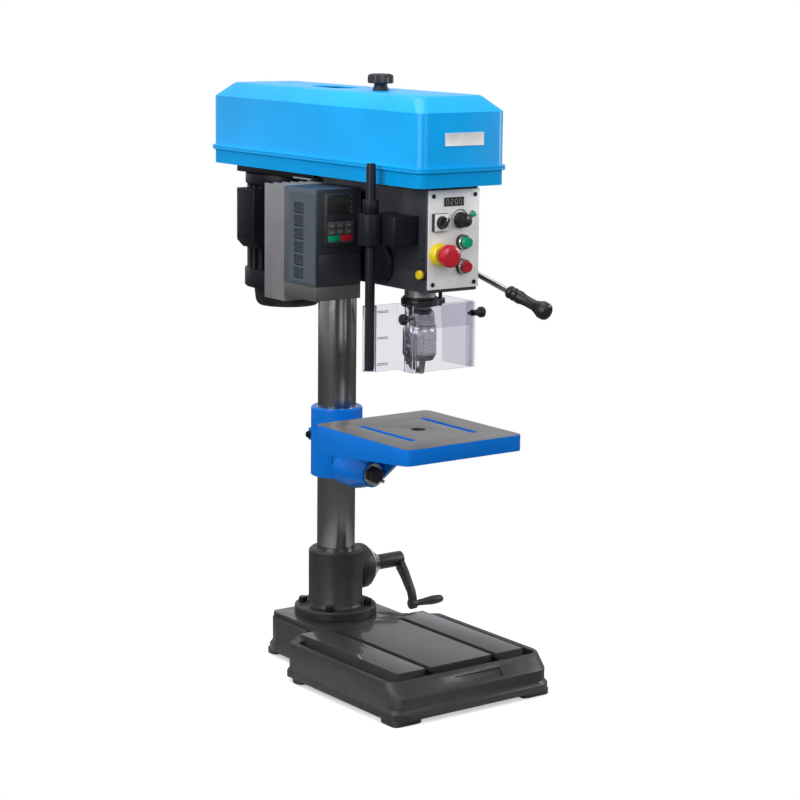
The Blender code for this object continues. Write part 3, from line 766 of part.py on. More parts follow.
def make_guard():
    x0 = -HEAD_HALF_X - GAP
    arm = slab(-0.122, x0, -0.358, -0.265, ARM_Z0 + 0.003, ARM_Z1 - 0.003, 0.005, 3)
    add(arm, rod("Z", ROD_X, ROD_Y, ARM_BOSS_R, ARM_Z0, ARM_Z1, SEG_MID))
    cut(arm, rod("Z", ROD_X, ROD_Y, ROD_R + RUN, ARM_Z0 - 0.01, ARM_Z1 + 0.01, 28))
    finish(arm, "guard_bracket", "dark")
    post = lathe("Z", ROD_X, ROD_Y, [(0, ROD_Z0), (ROD_R, ROD_Z0), (ROD_R, ROD_Z1 - 0.0015),
                                     (ROD_R - 0.0015, ROD_Z1), (0, ROD_Z1)], 28)
    finish(post, "guard_rod", "black", (ROD_X, ROD_Y, ARM_Z1))
    c0 = ARM_Z1 + GAP
    ring = lathe("Z", ROD_X, ROD_Y, [(ROD_R + RUN, c0), (0.016, c0), (0.016, c0 + 0.027), (ROD_R + RUN, c0 + 0.027)], 28)
    add(ring, rod("Y", ROD_X, c0 + 0.0135, 0.0040, ROD_Y - 0.0200, ROD_Y - 0.0125, 12))
    finish(ring, "guard_collar", "black", (ROD_X, ROD_Y, ARM_Z1))

    t, gx0, gx1, gy = GUARD_T, GUARD_X0, GUARD_X1, GUARD_Y0
    strip = [(ROD_X, GUARD_LEFT_Y), (gx0 + t, GUARD_LEFT_Y), (gx0 + t, gy + t), (gx1 - t, gy + t),
             (gx1 - t, GUARD_RIGHT_Y), (gx1, GUARD_RIGHT_Y), (gx1, gy), (gx0, gy), (gx0, GUARD_LEFT_Y - t),
             (ROD_X, GUARD_LEFT_Y - t)]
    side = prism("Z", strip, GUARD_Z0, GUARD_Z1)
    cut(side, box(gx0 + t + 0.006, gx1 - t - 0.006, gy - 0.01, gy + 0.012, GUARD_Z0 - 0.01, 0.748))
    add(side, rod("Z", ROD_X, ROD_Y, ROD_R + 0.0045, GUARD_Z0 + 0.002, GUARD_Z1 - 0.002, 28))
    cut(side, rod("Z", ROD_X, ROD_Y, ROD_R + RUN, GUARD_Z0 - 0.01, GUARD_Z1 + 0.01, 28))
    cut(side, rod("X", GKNOB_Y, GKNOB_Z, 0.0030, gx0 - 0.01, gx1 + 0.01, 16))
    finish(side, "guard_side_shield", "clear", (ROD_X, ROD_Y, ARM_Z1))

    g = GAP
    fx0, fx1, fy = gx0 - g - t, gx1 + g + t, gy - g - t
    back = fy + SHIELD_RETURN
    wrap = [(fx0, fy), (fx1, fy), (fx1, back), (fx1 - t, back), (fx1 - t, fy + t), (fx0 + t, fy + t), (fx0 + t, back),
            (fx0, back)]
    front = prism("Z", wrap, GUARD_Z0 + 0.0003, SHIELD_TOP_Z)
    slot = prism("X", rounded([(GKNOB_Y - 0.003, GKNOB_Z - 0.003, 0.0028), (GKNOB_Y + 0.003, GKNOB_Z - 0.003, 0.0028),
                               (GKNOB_Y + 0.003, GKNOB_Z + 0.0195, 0.0028),
                               (GKNOB_Y - 0.003, GKNOB_Z + 0.0195, 0.0028)], 3), fx0 - 0.01, fx1 + 0.01)
    cut(front, slot)
    finish(front, "guard_front_shield", "clear", (ROD_X, fy, GUARD_Z0))
    for name, wall, way, stem in (("guard_knob_left", fx0, -1, 0.002), ("guard_knob_right", fx1, 1, 0.014)):
        face = wall + way * g
        head = face + way * stem
        knob = lathe("X", GKNOB_Y, GKNOB_Z, [(0, wall - way * 0.008), (0.0026, wall - way * 0.008), (0.0026, face),
                                             (0.006, face), (0.0062, head), (0.0085, head + way * 0.004),
                                             (GKNOB_R, head + way * 0.006), (GKNOB_R, head + way * 0.014),
                                             (GKNOB_R - 0.002, head + way * 0.016), (0, head + way * 0.016)], 14)
        finish(knob, name, "black", (wall, GKNOB_Y, GKNOB_Z))


def place_on_origin():
    """Moves the machine so that the middle of its footprint is the origin."""
    bpy.context.view_layer.update()
    points = [thing.matrix_world @ v.co for thing in bpy.data.objects for v in thing.data.vertices]
    low = [min(p[i] for p in points) for i in range(3)]
    high = [max(p[i] for p in points) for i in range(3)]
    shift = Vector((-(low[0] + high[0]) / 2, -(low[1] + high[1]) / 2, -low[2]))
    for thing in bpy.data.objects:
        thing.location += shift


clear_scene()
make_base()
make_pedestal()
make_lift()
make_column()
make_table()
make_head()
make_feed()
make_spindle()
make_drive()
make_inverter()
make_guard()
place_on_origin()
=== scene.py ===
"""Drill press: column, tilting table, belt-driven head with a chuck guard, and frequency drive."""
import json
import math

import bpy
from bpy.props import FloatProperty, FloatVectorProperty, IntProperty, PointerProperty
from mathutils import Matrix, Vector

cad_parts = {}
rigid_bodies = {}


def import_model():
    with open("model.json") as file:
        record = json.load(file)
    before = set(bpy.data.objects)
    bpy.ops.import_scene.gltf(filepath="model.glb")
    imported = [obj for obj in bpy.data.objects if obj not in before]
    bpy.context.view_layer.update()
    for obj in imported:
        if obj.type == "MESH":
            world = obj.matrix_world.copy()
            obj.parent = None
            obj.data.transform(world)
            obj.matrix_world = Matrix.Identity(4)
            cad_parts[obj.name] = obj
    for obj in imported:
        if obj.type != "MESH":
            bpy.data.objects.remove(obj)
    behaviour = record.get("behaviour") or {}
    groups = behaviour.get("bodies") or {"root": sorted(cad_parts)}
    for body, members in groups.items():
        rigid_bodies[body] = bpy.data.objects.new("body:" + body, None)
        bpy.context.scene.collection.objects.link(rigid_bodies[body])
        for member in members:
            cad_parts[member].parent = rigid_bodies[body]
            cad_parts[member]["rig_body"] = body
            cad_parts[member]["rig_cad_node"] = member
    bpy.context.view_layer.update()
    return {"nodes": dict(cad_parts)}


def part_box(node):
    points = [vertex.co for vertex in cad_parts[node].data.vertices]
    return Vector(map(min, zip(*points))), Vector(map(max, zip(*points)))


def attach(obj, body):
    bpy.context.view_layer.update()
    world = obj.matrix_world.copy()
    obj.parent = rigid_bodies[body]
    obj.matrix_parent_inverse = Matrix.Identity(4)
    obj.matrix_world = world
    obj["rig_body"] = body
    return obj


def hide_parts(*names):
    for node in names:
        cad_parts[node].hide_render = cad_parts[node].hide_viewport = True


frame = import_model()

bl_info = {"name": "Drill Press", "version": (1, 0, 0), "blender": (4, 5, 0), "category": "Object",
    "location": "View3D > Sidebar > Drill Press",
    "description": "Dresses the drill press frame with its finishes, controls and trim"}


def span(node):
    """A frame node's low corner, high corner and middle."""
    low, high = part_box(node)
    return low, high, (low + high) / 2


COLUMN = span("column")[2]
WHITE = (1, 1, 1, 1)
HEAD = "column_and_head"
FACE_SKIN = 0.0006  # how far under a milled top its faces still count as the top
BOLT_HEAD = 0.0100
# radius round the table's hole within which its bore wall is painted dark, as painted shade
TABLE_HOLE_SHADE_REACH = 0.0165
LEVER_CONE = 0.25  # outward run of the feed levers for each unit of reach
LEVER_TILT = 110
SELECTOR_TURN = 38
GRIP_FROM, GRIP_TO = 0.157, 0.258
GUARD_PANE = 0.0060  # from the post's axis forward to the left pane
CAMERA_ANGLES = (-36.76, -10.5232, 0.7001)
CAMERA_PLACE = (-2.6835, -3.8131, 1.4155)
CAMERA_LENS = 101.9
AXIS = {"Z": Matrix.Identity(4), "X": Matrix.Rotation(math.pi / 2, 4, "Y"),
    "-X": Matrix.Rotation(-math.pi / 2, 4, "Y"), "-Y": Matrix.Rotation(math.pi / 2, 4, "X"),
    "Y": Matrix.Rotation(-math.pi / 2, 4, "X"), "-Z": Matrix.Rotation(math.pi, 4, "X")}


def length(name, description, default, low, high):
    return FloatProperty(name=name, description=description, default=default, min=low, max=high,
        unit="LENGTH")


def paint(name, description, default):
    return FloatVectorProperty(name=name, description=description, subtype="COLOR", default=default,
        min=0, max=1)


class DrillPressSizes(bpy.types.PropertyGroup):
    edge: length("Edge rounding", "Radius broken on cast and sheet edges", 0.0012, 0.0002, 0.004)
    round_steps: IntProperty(name="Round steps", description="Sides of a turned piece", default=72,
        min=24, max=160)
    grip_swell: length("Grip swell", "Radius of the feed grip's ball end", 0.0177, 0.012, 0.0178)
    knurl: IntProperty(name="Knurl count", description="Flutes round the chuck ring", default=48, min=16,
        max=90)


class DrillPressColours(bpy.types.PropertyGroup):
    azure: paint("Azure paint", "Belt cover paint", (0.0, 0.400, 0.92))
    table_blue: paint("Table blue", "Paint of the table and its bracket", (0.0, 0.185, 0.72))
    casting: paint("Casting grey", "Paint of the base and pedestal", (0.013, 0.0122, 0.0105))
    head_grey: paint("Head grey", "Paint of the head", (0.030, 0.033, 0.042))
    machined: paint("Machined iron", "Ground faces of table and base", (0.24, 0.22, 0.22))
    panel: paint("Panel white", "Control panel enamel", (0.86, 0.86, 0.86))
    stop_red: paint("Stop red", "Stop controls", (0.56, 0.012, 0.028))
    start_green: paint("Start green", "Start button and lamp", (0.0, 0.36, 0.16))
    warning_yellow: paint("Yellow", "Emergency stop base and side button", (0.90, 0.66, 0.01))


def sizes():
    return bpy.context.scene.drill_press_sizes


def colours():
    return bpy.context.scene.drill_press_colours


# ---- finishes
FINISHES = {}


def shader_node(tree, kind, **values):
    """A new shader node; each value goes to the input of that name or to the node's own setting."""
    node = tree.nodes.new("ShaderNode" + kind)
    for key, value in values.items():
        socket = key.replace("_", " ")
        if socket in node.inputs:
            node.inputs[socket].default_value = value
        else:
            setattr(node, key, value)
    return node


class Finish:
    """A material under construction, with short calls for its nodes."""

    def __init__(self, name, colour, rough, metal=0.0):
        self.mat = bpy.data.materials.new(name)
        self.mat.use_nodes = True
        self.tree = self.mat.node_tree
        self.shader = self.tree.nodes["Principled BSDF"]
        self.set("Base Color", (*colour, 1.0))
        self.set("Roughness", rough)
        self.set("Metallic", metal)
        self.colour = colour
        self.where = self.tree.nodes.new("ShaderNodeTexCoord").outputs["Object"]
        self.normal = None

    def set(self, socket, value):
        self.shader.inputs[socket].default_value = value

    def coat(self, weight, rough):
        self.set("Coat Weight", weight)
        self.set("Coat Roughness", rough)

    def add(self, kind, **values):
        return shader_node(self.tree, kind, **values)

    def link(self, a, b):
        self.tree.links.new(a, b)

    def stretched(self, scale, turn=(0, 0, 0)):
        node = self.add("Mapping", Scale=scale, Rotation=turn)
        self.link(self.where, node.inputs["Vector"])
        return node.outputs["Vector"]

    def noise(self, scale, detail=3.0, vector=None, rough=0.5):
        node = self.add("TexNoise", Scale=scale, Detail=detail, Roughness=rough)
        self.link(vector or self.where, node.inputs["Vector"])
        return node.outputs["Fac"]

    def spread(self, source, low, high, from_low=0.3, from_high=0.7):
        node = self.add("MapRange", From_Min=from_low, From_Max=from_high, To_Min=low, To_Max=high)
        self.link(source, node.inputs["Value"])
        return node.outputs["Result"]

    def shade(self, source, low, high, from_low=0.3, from_high=0.7):
        """Varies the colour between two brightnesses of itself."""
        ramp = self.add("ValToRGB")
        ramp.color_ramp.elements[0].position, ramp.color_ramp.elements[1].position = from_low, from_high
        ramp.color_ramp.elements[0].color = (*[min(c * low, 1.0) for c in self.colour], 1)
        ramp.color_ramp.elements[1].color = (*[min(c * high, 1.0) for c in self.colour], 1)
        self.link(source, ramp.inputs["Fac"])
        self.link(ramp.outputs["Color"], self.shader.inputs["Base Color"])
        return ramp.outputs["Color"]

    def over(self, under, colour, mask):
        node = self.add("Mix", data_type="RGBA")
        self.link(mask, node.inputs[0])
        self.link(under, node.inputs[6])
        node.inputs[7].default_value = (*colour, 1)
        self.link(node.outputs[2], self.shader.inputs["Base Color"])
        return node.outputs[2]

    def bump(self, source, strength, distance):
        node = self.add("Bump", Strength=strength, Distance=distance)
        self.link(source, node.inputs["Height"])
        if self.normal:
            self.link(self.normal, node.inputs["Normal"])
        self.normal = node.outputs["Normal"]
        self.link(self.normal, self.shader.inputs["Normal"])

    def roughen(self, source, low, high, from_low=0.3, from_high=0.7):
        self.link(self.spread(source, low, high, from_low, from_high), self.shader.inputs["Roughness"])

    def lighter_convex_edges(self, under, colour, low=0.53, high=0.60):
        # Sharp convex edges, found by pointiness, are painted lighter than the paint around them.
        edge = self.add("NewGeometry").outputs["Pointiness"]
        self.over(under, colour, self.spread(edge, 0.0, 0.55, low, high))


def gloss_paint(name, colour):
    f = Finish(name, colour, 0.34)
    f.set("Specular IOR Level", 0.18)
    f.coat(0.15, 0.12)
    f.roughen(f.noise(14, 4), 0.30, 0.42)
    f.shade(f.noise(5.0, 4), 0.88, 1.07)
    f.bump(f.noise(420, 2), 0.05, 0.0004)
    f.bump(f.noise(22, 2), 0.06, 0.0012)
    return f


def cast_paint(name, colour, rough=0.5):
    f = Finish(name, colour, rough)
    tone = f.shade(f.noise(9, 6, rough=0.65), 0.84, 1.16)
    # the cast paint is painted lighter along its sharp edges
    f.lighter_convex_edges(tone, tuple(min(1, c * 1.9 + 0.02) for c in colour))
    f.roughen(f.noise(40, 5), rough - 0.10, rough + 0.12)
    f.bump(f.noise(160, 4, rough=0.6), 0.22, 0.0006)
    f.bump(f.noise(620, 2), 0.12, 0.0002)
    f.coat(0.12, 0.25)
    return f


def machined_iron(name, colour, turn):
    f = Finish(name, colour, 0.36, 0.85)
    lines = f.noise(1, 3, f.stretched((6, 1100, 6), (0, 0, turn)))
    blotch = f.noise(11, 6, rough=0.62)
    f.shade(blotch, 0.78, 1.16)
    f.roughen(blotch, 0.30, 0.48)
    f.bump(lines, 0.10, 0.0002)
    f.bump(f.noise(1, 2, f.stretched((3, 260, 3), (0, 0, turn))), 0.10, 0.0002)
    return f


def milled_base(name, colour):
    """Dark milled iron under a film of oil, glossy enough to mirror the pedestal."""
    f = machined_iron(name, colour, 0.0)
    f.set("Metallic", 0.35)
    f.coat(0.6, 0.08)
    return f


def ground_steel(name, colour, rough, lines=(14, 14, 1400), relief=0.06):
    f = Finish(name, colour, rough, 1.0)
    grind = f.noise(1, 3, f.stretched(lines))
    f.shade(f.noise(6, 4), 0.90, 1.06)
    f.roughen(grind, rough * 0.8, rough * 1.3)
    f.bump(grind, relief, 0.0001)
    return f


def plastic(name, colour, rough, grain=0.06, coat=0.0, specular=0.5):
    f = Finish(name, colour, rough)
    f.set("Specular IOR Level", specular)
    f.coat(coat, 0.08)
    f.shade(f.noise(25, 3), 0.93, 1.07)
    f.roughen(f.noise(60, 3), rough * 0.85, rough * 1.15)
    f.bump(f.noise(900, 2), grain, 0.0002)
    return f


def clear_plastic(name):
    """Thin polished sheet: seen through face on, darker and glossier where it turns away."""
    f = Finish(name, (0.76, 0.75, 0.80), 0.04)
    f.set("Transmission Weight", 1.0)
    f.set("IOR", 1.10)
    f.set("Specular IOR Level", 0.9)
    f.roughen(f.noise(30, 4), 0.02, 0.06)
    f.bump(f.noise(45, 3), 0.03, 0.0005)
    tint = f.shade(f.noise(10, 3), 0.97, 1.03)
    turn_away = f.add("LayerWeight", Blend=0.30).outputs["Facing"]
    f.over(tint, (0.42, 0.40, 0.50), f.spread(turn_away, 0.0, 0.85, 0.35, 0.95))
    return f


def make_finishes():
    c = colours()
    FINISHES.update({"azure": gloss_paint("azure_paint", tuple(c.azure)),
        "table_blue": gloss_paint("table_blue_paint", tuple(c.table_blue)),
        "casting": cast_paint("casting_paint", tuple(c.casting)),
        "head": cast_paint("head_paint", tuple(c.head_grey), 0.42),
        "machined": machined_iron("milled_iron", tuple(c.machined), 0.0),
        "base_milled": milled_base("milled_base_iron", tuple(v * 0.15 for v in c.machined)),
        "column": ground_steel("ground_column_steel", (0.40, 0.385, 0.385), 0.19, (14, 14, 1400), 0.01),
        "steel": ground_steel("turned_steel", (0.50, 0.50, 0.51), 0.28),
        "bright": ground_steel("bright_steel", (0.78, 0.78, 0.78), 0.18, (60, 60, 60)),
        "sink": plastic("heatsink_grey", (0.215, 0.212, 0.222), 0.46, 0.05),
        "oxide": ground_steel("black_oxide", (0.035, 0.035, 0.038), 0.38, (90, 90, 90)),
        "black": plastic("black_moulding", (0.012, 0.012, 0.014), 0.42, 0.10),
        "satin_black": plastic("satin_black_paint", (0.008, 0.009, 0.014), 0.42, 0.05, 0.0, 0.22),
        "panel": plastic("panel_enamel", tuple(c.panel), 0.34, 0.02),
        "red": plastic("stop_red", tuple(c.stop_red), 0.30, 0.03, 0.4),
        "green": plastic("start_green", tuple(c.start_green), 0.24, 0.02, 0.5),
        "yellow": plastic("signal_yellow", tuple(c.warning_yellow), 0.34, 0.03, 0.3),
        "slate": plastic("slate_moulding", (0.020, 0.022, 0.028), 0.46, 0.16),
        # lighter copy of the slate for the drive's left side: painted light where the key lamp falls
        "slate_lit_side": plastic("slate_painted_light_side", (0.074, 0.094, 0.118), 0.48, 0.16),
        "keyline": plastic("keypad_print", (0.22, 0.23, 0.25), 0.45, 0.02),
        "taupe": plastic("taupe_sheet", (0.090, 0.084, 0.078), 0.50, 0.08),
        "alloy": ground_steel("brushed_alloy", (0.64, 0.645, 0.65), 0.36, (8, 8, 500)),
        "glass": plastic("display_glass", (0.030, 0.030, 0.028), 0.12, 0.0, 0.8),
        "digit": plastic("display_digits", (0.33, 0.33, 0.29), 0.40, 0.0),
        "print": plastic("panel_print", (0.03, 0.03, 0.03), 0.5, 0.0),
        "rubber": plastic("belt_rubber", (0.02, 0.02, 0.02), 0.70, 0.3),
        "clear": clear_plastic("clear_guard"), "clear_edge": plastic("guard_edge", (0.10, 0.095, 0.12),
        0.20, 0.02, 0.4),})


# ---- making and placing
def pick_none():
    if bpy.context.mode != "OBJECT":
        bpy.ops.object.mode_set(mode="OBJECT")
    bpy.ops.object.select_all(action="DESELECT")


def pick(piece):
    pick_none()
    piece.select_set(True)
    bpy.context.view_layer.objects.active = piece


def dress(piece, name, finish, body, smooth=32):
    """Names a finished piece, gives it its finish and sends it along with its body."""
    pick(piece)
    bpy.ops.object.transform_apply(location=True, rotation=True, scale=True)
    bpy.ops.object.shade_smooth_by_angle(angle=math.radians(smooth))
    piece.name = piece.data.name = name
    if finish:
        piece.data.materials.clear()
        piece.data.materials.append(FINISHES[finish].mat)
    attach(piece, body)
    pick_none()
    return piece


def apply_modifiers(piece):
    pick(piece)
    for mod in list(piece.modifiers):
        bpy.ops.object.modifier_apply(modifier=mod.name)


def soften(piece, width, steps=2, angle=38):
    mod = piece.modifiers.new("edge", "BEVEL")
    mod.width, mod.segments, mod.limit_method = width, steps, "ANGLE"
    mod.angle_limit = math.radians(angle)
    mod.use_clamp_overlap = True
    mod.harden_normals = False
    apply_modifiers(piece)


def body_of(node):
    return frame["nodes"][node]["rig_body"]


def refine(node, finish, edge=None, steps=2, second=None, where=None, smooth=34):
    """A welded, edge-rounded copy of a frame node; faces that pass `where` get the second finish."""
    source = frame["nodes"][node]
    pick(source)
    bpy.ops.object.duplicate()
    piece = bpy.context.view_layer.objects.active
    pick(piece)
    piece.parent = None
    piece.matrix_world = Matrix.Identity(4)
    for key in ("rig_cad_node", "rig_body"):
        if key in piece:
            del piece[key]
    bpy.ops.object.mode_set(mode="EDIT")
    bpy.ops.mesh.select_all(action="SELECT")
    bpy.ops.mesh.remove_doubles(threshold=0.00001)
    bpy.ops.mesh.dissolve_limited(angle_limit=math.radians(0.6))
    bpy.ops.object.mode_set(mode="OBJECT")
    if edge is None:
        edge = sizes().edge
    if edge:
        soften(piece, edge, steps)
    dress(piece, node + "_finished", finish, body_of(node), smooth)
    if second:
        piece.data.materials.append(FINISHES[second].mat)
        for face in piece.data.polygons:
            if where(face.center, face.normal):
                face.material_index = 1
    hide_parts(node)
    return piece


def turned(name, profile, at, axis, finish, body, count=None, flute=None):
    """A turned piece, drawn out from a disc step by step along its profile of (radius, distance)."""
    count = count or sizes().round_steps
    pick_none()
    r, s = profile[0]
    bpy.ops.mesh.primitive_circle_add(vertices=count, radius=r, fill_type="NGON", location=(0, 0, s))
    piece = bpy.context.active_object
    bpy.ops.object.transform_apply(location=True)
    bpy.ops.object.mode_set(mode="EDIT")
    bpy.ops.mesh.select_all(action="SELECT")
    for nr, ns in profile[1:]:
        bpy.ops.mesh.extrude_region_move(TRANSFORM_OT_translate={"value": (0, 0, ns - s)})
        k = nr / r
        if abs(k - 1) > 1e-6:
            bpy.ops.transform.resize(value=(k, k, 1), center_override=(0, 0, ns))
        r, s = nr, ns
    bpy.ops.mesh.select_all(action="SELECT")
    bpy.ops.mesh.normals_make_consistent(inside=False)
    bpy.ops.object.mode_set(mode="OBJECT")
    if flute:
        deep, low, high = flute
        for v in piece.data.vertices:
            if low <= v.co.z <= high:
                side = round((math.atan2(v.co.y, v.co.x) / (2 * math.pi)) * count)
                if side % 2:
                    reach = math.hypot(v.co.x, v.co.y)
                    v.co.x *= 1 - deep / reach
                    v.co.y *= 1 - deep / reach
    piece.matrix_world = Matrix.Translation(at) @ AXIS[axis]
    return dress(piece, name, finish, body)


def block(name, low, high, finish, body, edge=0.0, steps=2, inset=None):
    """A box between two corners; an inset presses its front (-Y) face in."""
    pick_none()
    low, high = Vector(low), Vector(high)
    bpy.ops.mesh.primitive_cube_add(size=1, location=(low + high) / 2)
    piece = bpy.context.active_object
    piece.scale = high - low
    bpy.ops.object.transform_apply(location=True, rotation=True, scale=True)
    if inset:
        rim, deep = inset
        bpy.ops.object.mode_set(mode="EDIT")
        bpy.ops.mesh.select_all(action="DESELECT")
        bpy.ops.object.mode_set(mode="OBJECT")
        for face in piece.data.polygons:
            face.select = face.normal.y < -0.9
        bpy.ops.object.mode_set(mode="EDIT")
        bpy.ops.mesh.inset(thickness=rim, depth=0)
        bpy.ops.mesh.extrude_region_move(TRANSFORM_OT_translate={"value": (0, deep, 0)})
        bpy.ops.object.mode_set(mode="OBJECT")
    if edge:
        soften(piece, edge, steps)
    return dress(piece, name, finish, body)


def step(cls):
    STEPS.append(cls)
    return cls


STEPS = []


def wire(tree, *pairs):
    for source, target in pairs:
        tree.links.new(source, target)


def split_by_ray(tree, lit, seen, out):
    """Camera rays, and those gone on through the clear guard, meet `seen`; all others meet `lit`."""
    path, either = shader_node(tree, "LightPath"), shader_node(tree, "Math", operation="MAXIMUM")
    mix = shader_node(tree, "MixShader")
    wire(tree, (path.outputs["Is Camera Ray"], either.inputs[0]),
        (path.outputs["Is Transmission Ray"], either.inputs[1]), (either.outputs[0], mix.inputs[0]),
        (lit.outputs[0], mix.inputs[1]), (seen.outputs[0], mix.inputs[2]),
        (mix.outputs[0], out.inputs["Surface"]))


def floor_material():
    """Holds the shadow close to the machine and is plain white further out; for bounced light it is
    painted pale near the machine and dark further out, a painted pool of light.
    """
    mat = bpy.data.materials.new("pale_floor")
    mat.use_nodes = True
    tree = mat.node_tree
    shader = tree.nodes["Principled BSDF"]
    shader.inputs["Base Color"].default_value = (0.80, 0.80, 0.80, 1)
    shader.inputs["Roughness"].default_value = 0.8
    shader.inputs["Specular IOR Level"].default_value = 0.1
    glow = shader_node(tree, "Emission", Strength=0.42)
    plain = shader_node(tree, "Emission", Color=WHITE)
    where = shader_node(tree, "TexCoord")
    reach = shader_node(tree, "VectorMath", operation="LENGTH")
    fade = shader_node(tree, "MapRange", From_Min=0.30, From_Max=0.75)
    near, seen = shader_node(tree, "AddShader"), shader_node(tree, "MixShader")
    # For light bouncing off it, the floor is painted pale near the machine and dark further out, a
    # painted pool of light.
    bounce, bounce_pool_ramp = shader_node(tree, "BsdfDiffuse"), shader_node(tree, "ValToRGB")
    for element, grey in zip(bounce_pool_ramp.color_ramp.elements, (0.70, 0.10)):
        element.color = (grey, grey, grey, 1)
    wire(tree, (where.outputs["Object"], reach.inputs[0]), (reach.outputs["Value"], fade.inputs["Value"]),
        (shader.outputs[0], near.inputs[0]), (glow.outputs[0], near.inputs[1]),
        (fade.outputs["Result"], seen.inputs[0]), (near.outputs[0], seen.inputs[1]),
        (plain.outputs[0], seen.inputs[2]), (fade.outputs["Result"], bounce_pool_ramp.inputs["Fac"]),
        (bounce_pool_ramp.outputs["Color"], bounce.inputs["Color"]))
    split_by_ray(tree, bounce, seen, tree.nodes["Material Output"])
    return mat


def light_world(world):
    """Sky light that comes mostly from above and behind, before a plain white backdrop."""
    world.use_nodes = True
    tree = world.node_tree
    tree.nodes.clear()
    out = shader_node(tree, "OutputWorld")
    soft = shader_node(tree, "Background", Color=(0.94, 0.96, 1.0, 1))
    white = shader_node(tree, "Background", Color=WHITE, Strength=1.0)
    where, lean = shader_node(tree, "TexCoord"), shader_node(tree, "VectorMath", operation="DOT_PRODUCT")
    lean.inputs[1].default_value = (0.10, 0.72, 0.62)
    level = shader_node(tree, "MapRange", From_Min=-0.45, From_Max=0.80, To_Min=0.08, To_Max=0.80)
    wire(tree, (where.outputs["Generated"], lean.inputs[0]),
        (lean.outputs["Value"], level.inputs["Value"]), (level.outputs["Result"],
        soft.inputs["Strength"]))
    split_by_ray(tree, soft, white, out)


@step
class AddStage(bpy.types.Operator):
    """Pale floor and backdrop, soft lamps and the camera"""
    bl_idname = "drill_press.add_stage"
    bl_label = "Stage"

    def execute(self, context):
        scene = context.scene
        scene.view_settings.view_transform = "Standard"
        pick_none()
        bpy.ops.mesh.primitive_plane_add(size=16, location=(0, 0, -0.0008))
        floor = context.active_object
        floor.name = "floor"
        floor.data.materials.append(floor_material())

        scene.world = scene.world or bpy.data.worlds.new("studio")
        light_world(scene.world)
        for name, place, aim, size, power in (("left_softbox", (-3.4, -1.3, 2.3), (0, 0, 0.8), 2.5, 96),
                ("front_softbox", (-0.2, -3.8, 2.5), (0, 0, 0.7), 1.8, 40),
                ("right_strip", (3.0, -1.6, 1.6), (0, 0, 0.7), 1.0, 40),
                ("top_softbox", (-0.4, 0.4, 3.6), (0, 0, 0.6), 2.0, 46)):
            pick_none()
            bpy.ops.object.light_add(type="AREA", location=place)
            lamp = context.active_object
            lamp.name = name
            lamp.data.shape = "SQUARE"
            lamp.data.size = size
            lamp.data.energy = power
            lamp.rotation_euler = (Vector(aim) - Vector(place)).to_track_quat("-Z", "Y").to_euler()

        yaw, pitch, roll = (math.radians(v) for v in CAMERA_ANGLES)
        ahead = Vector((-math.sin(yaw) * math.cos(pitch), math.cos(yaw) * math.cos(pitch),
            math.sin(pitch)))
        right = Vector((math.cos(yaw), math.sin(yaw), 0))
        up = right.cross(ahead)
        across = math.cos(roll) * right + math.sin(roll) * up
        above = math.cos(roll) * up - math.sin(roll) * right
        pick_none()
        bpy.ops.object.camera_add()
        camera = context.active_object
        camera.name = "camera"
        camera.data.lens = CAMERA_LENS
        camera.data.sensor_width = 36
        camera.data.clip_end = 60
        turn = Matrix((across, above, -ahead)).transposed().to_4x4()
        place = Vector(CAMERA_PLACE) + Vector((COLUMN.x, COLUMN.y, 0))
        camera.matrix_world = Matrix.Translation(place) @ turn
        scene.camera = camera
        return {"FINISHED"}


@step
class AddStand(bpy.types.Operator):
    """Base casting with its milled work surface, pedestal and flange bolts"""
    bl_idname = "drill_press.add_stand"
    bl_label = "Base and pedestal"

    def execute(self, context):
        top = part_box("base_casting")[1].z
        refine("base_casting", "casting", 0.0026, 3, "base_milled",
            lambda c, n: n.z > 0.95 and c.z > top - FACE_SKIN)
        refine("pedestal", "casting", 0.0020, 3)
        for i in range(1, 5):
            node = f"flange_bolt_{i}"
            low, high, c = span(node)
            seat = high.z - BOLT_HEAD
            piece = turned(node + "_cap_screw", [(0.0050, low.z), (0.0050, seat + 0.0005),
                (0.0086, seat + 0.0005), (0.0090, seat + 0.0010), (0.0090, high.z - 0.0012),
                (0.0080, high.z)], (c.x, c.y, 0), "Z", "oxide", "stand", 48)
            turned(node + "_socket", [(0.0040, high.z - BOLT_HEAD * 0.5), (0.0046, high.z + 0.00005)],
                (c.x, c.y, 0), "Z", "black", "stand", 6)
            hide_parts(node)
        return {"FINISHED"}


@step
class AddColumn(bpy.types.Operator):
    """Ground column with its lift rack"""
    bl_idname = "drill_press.add_column"
    bl_label = "Column"

    def execute(self, context):
        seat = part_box("pedestal")[1].z + 0.004
        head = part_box("head_casting")[0].z
        turned("column_sleeve", [(0.03995, seat), (0.04005, seat + 0.0004), (0.04005, head + 0.004),
            (0.03995, head + 0.0044)], (COLUMN.x, COLUMN.y, 0), "Z", "column", HEAD, 96)
        refine("column", "column", 0)
        return {"FINISHED"}


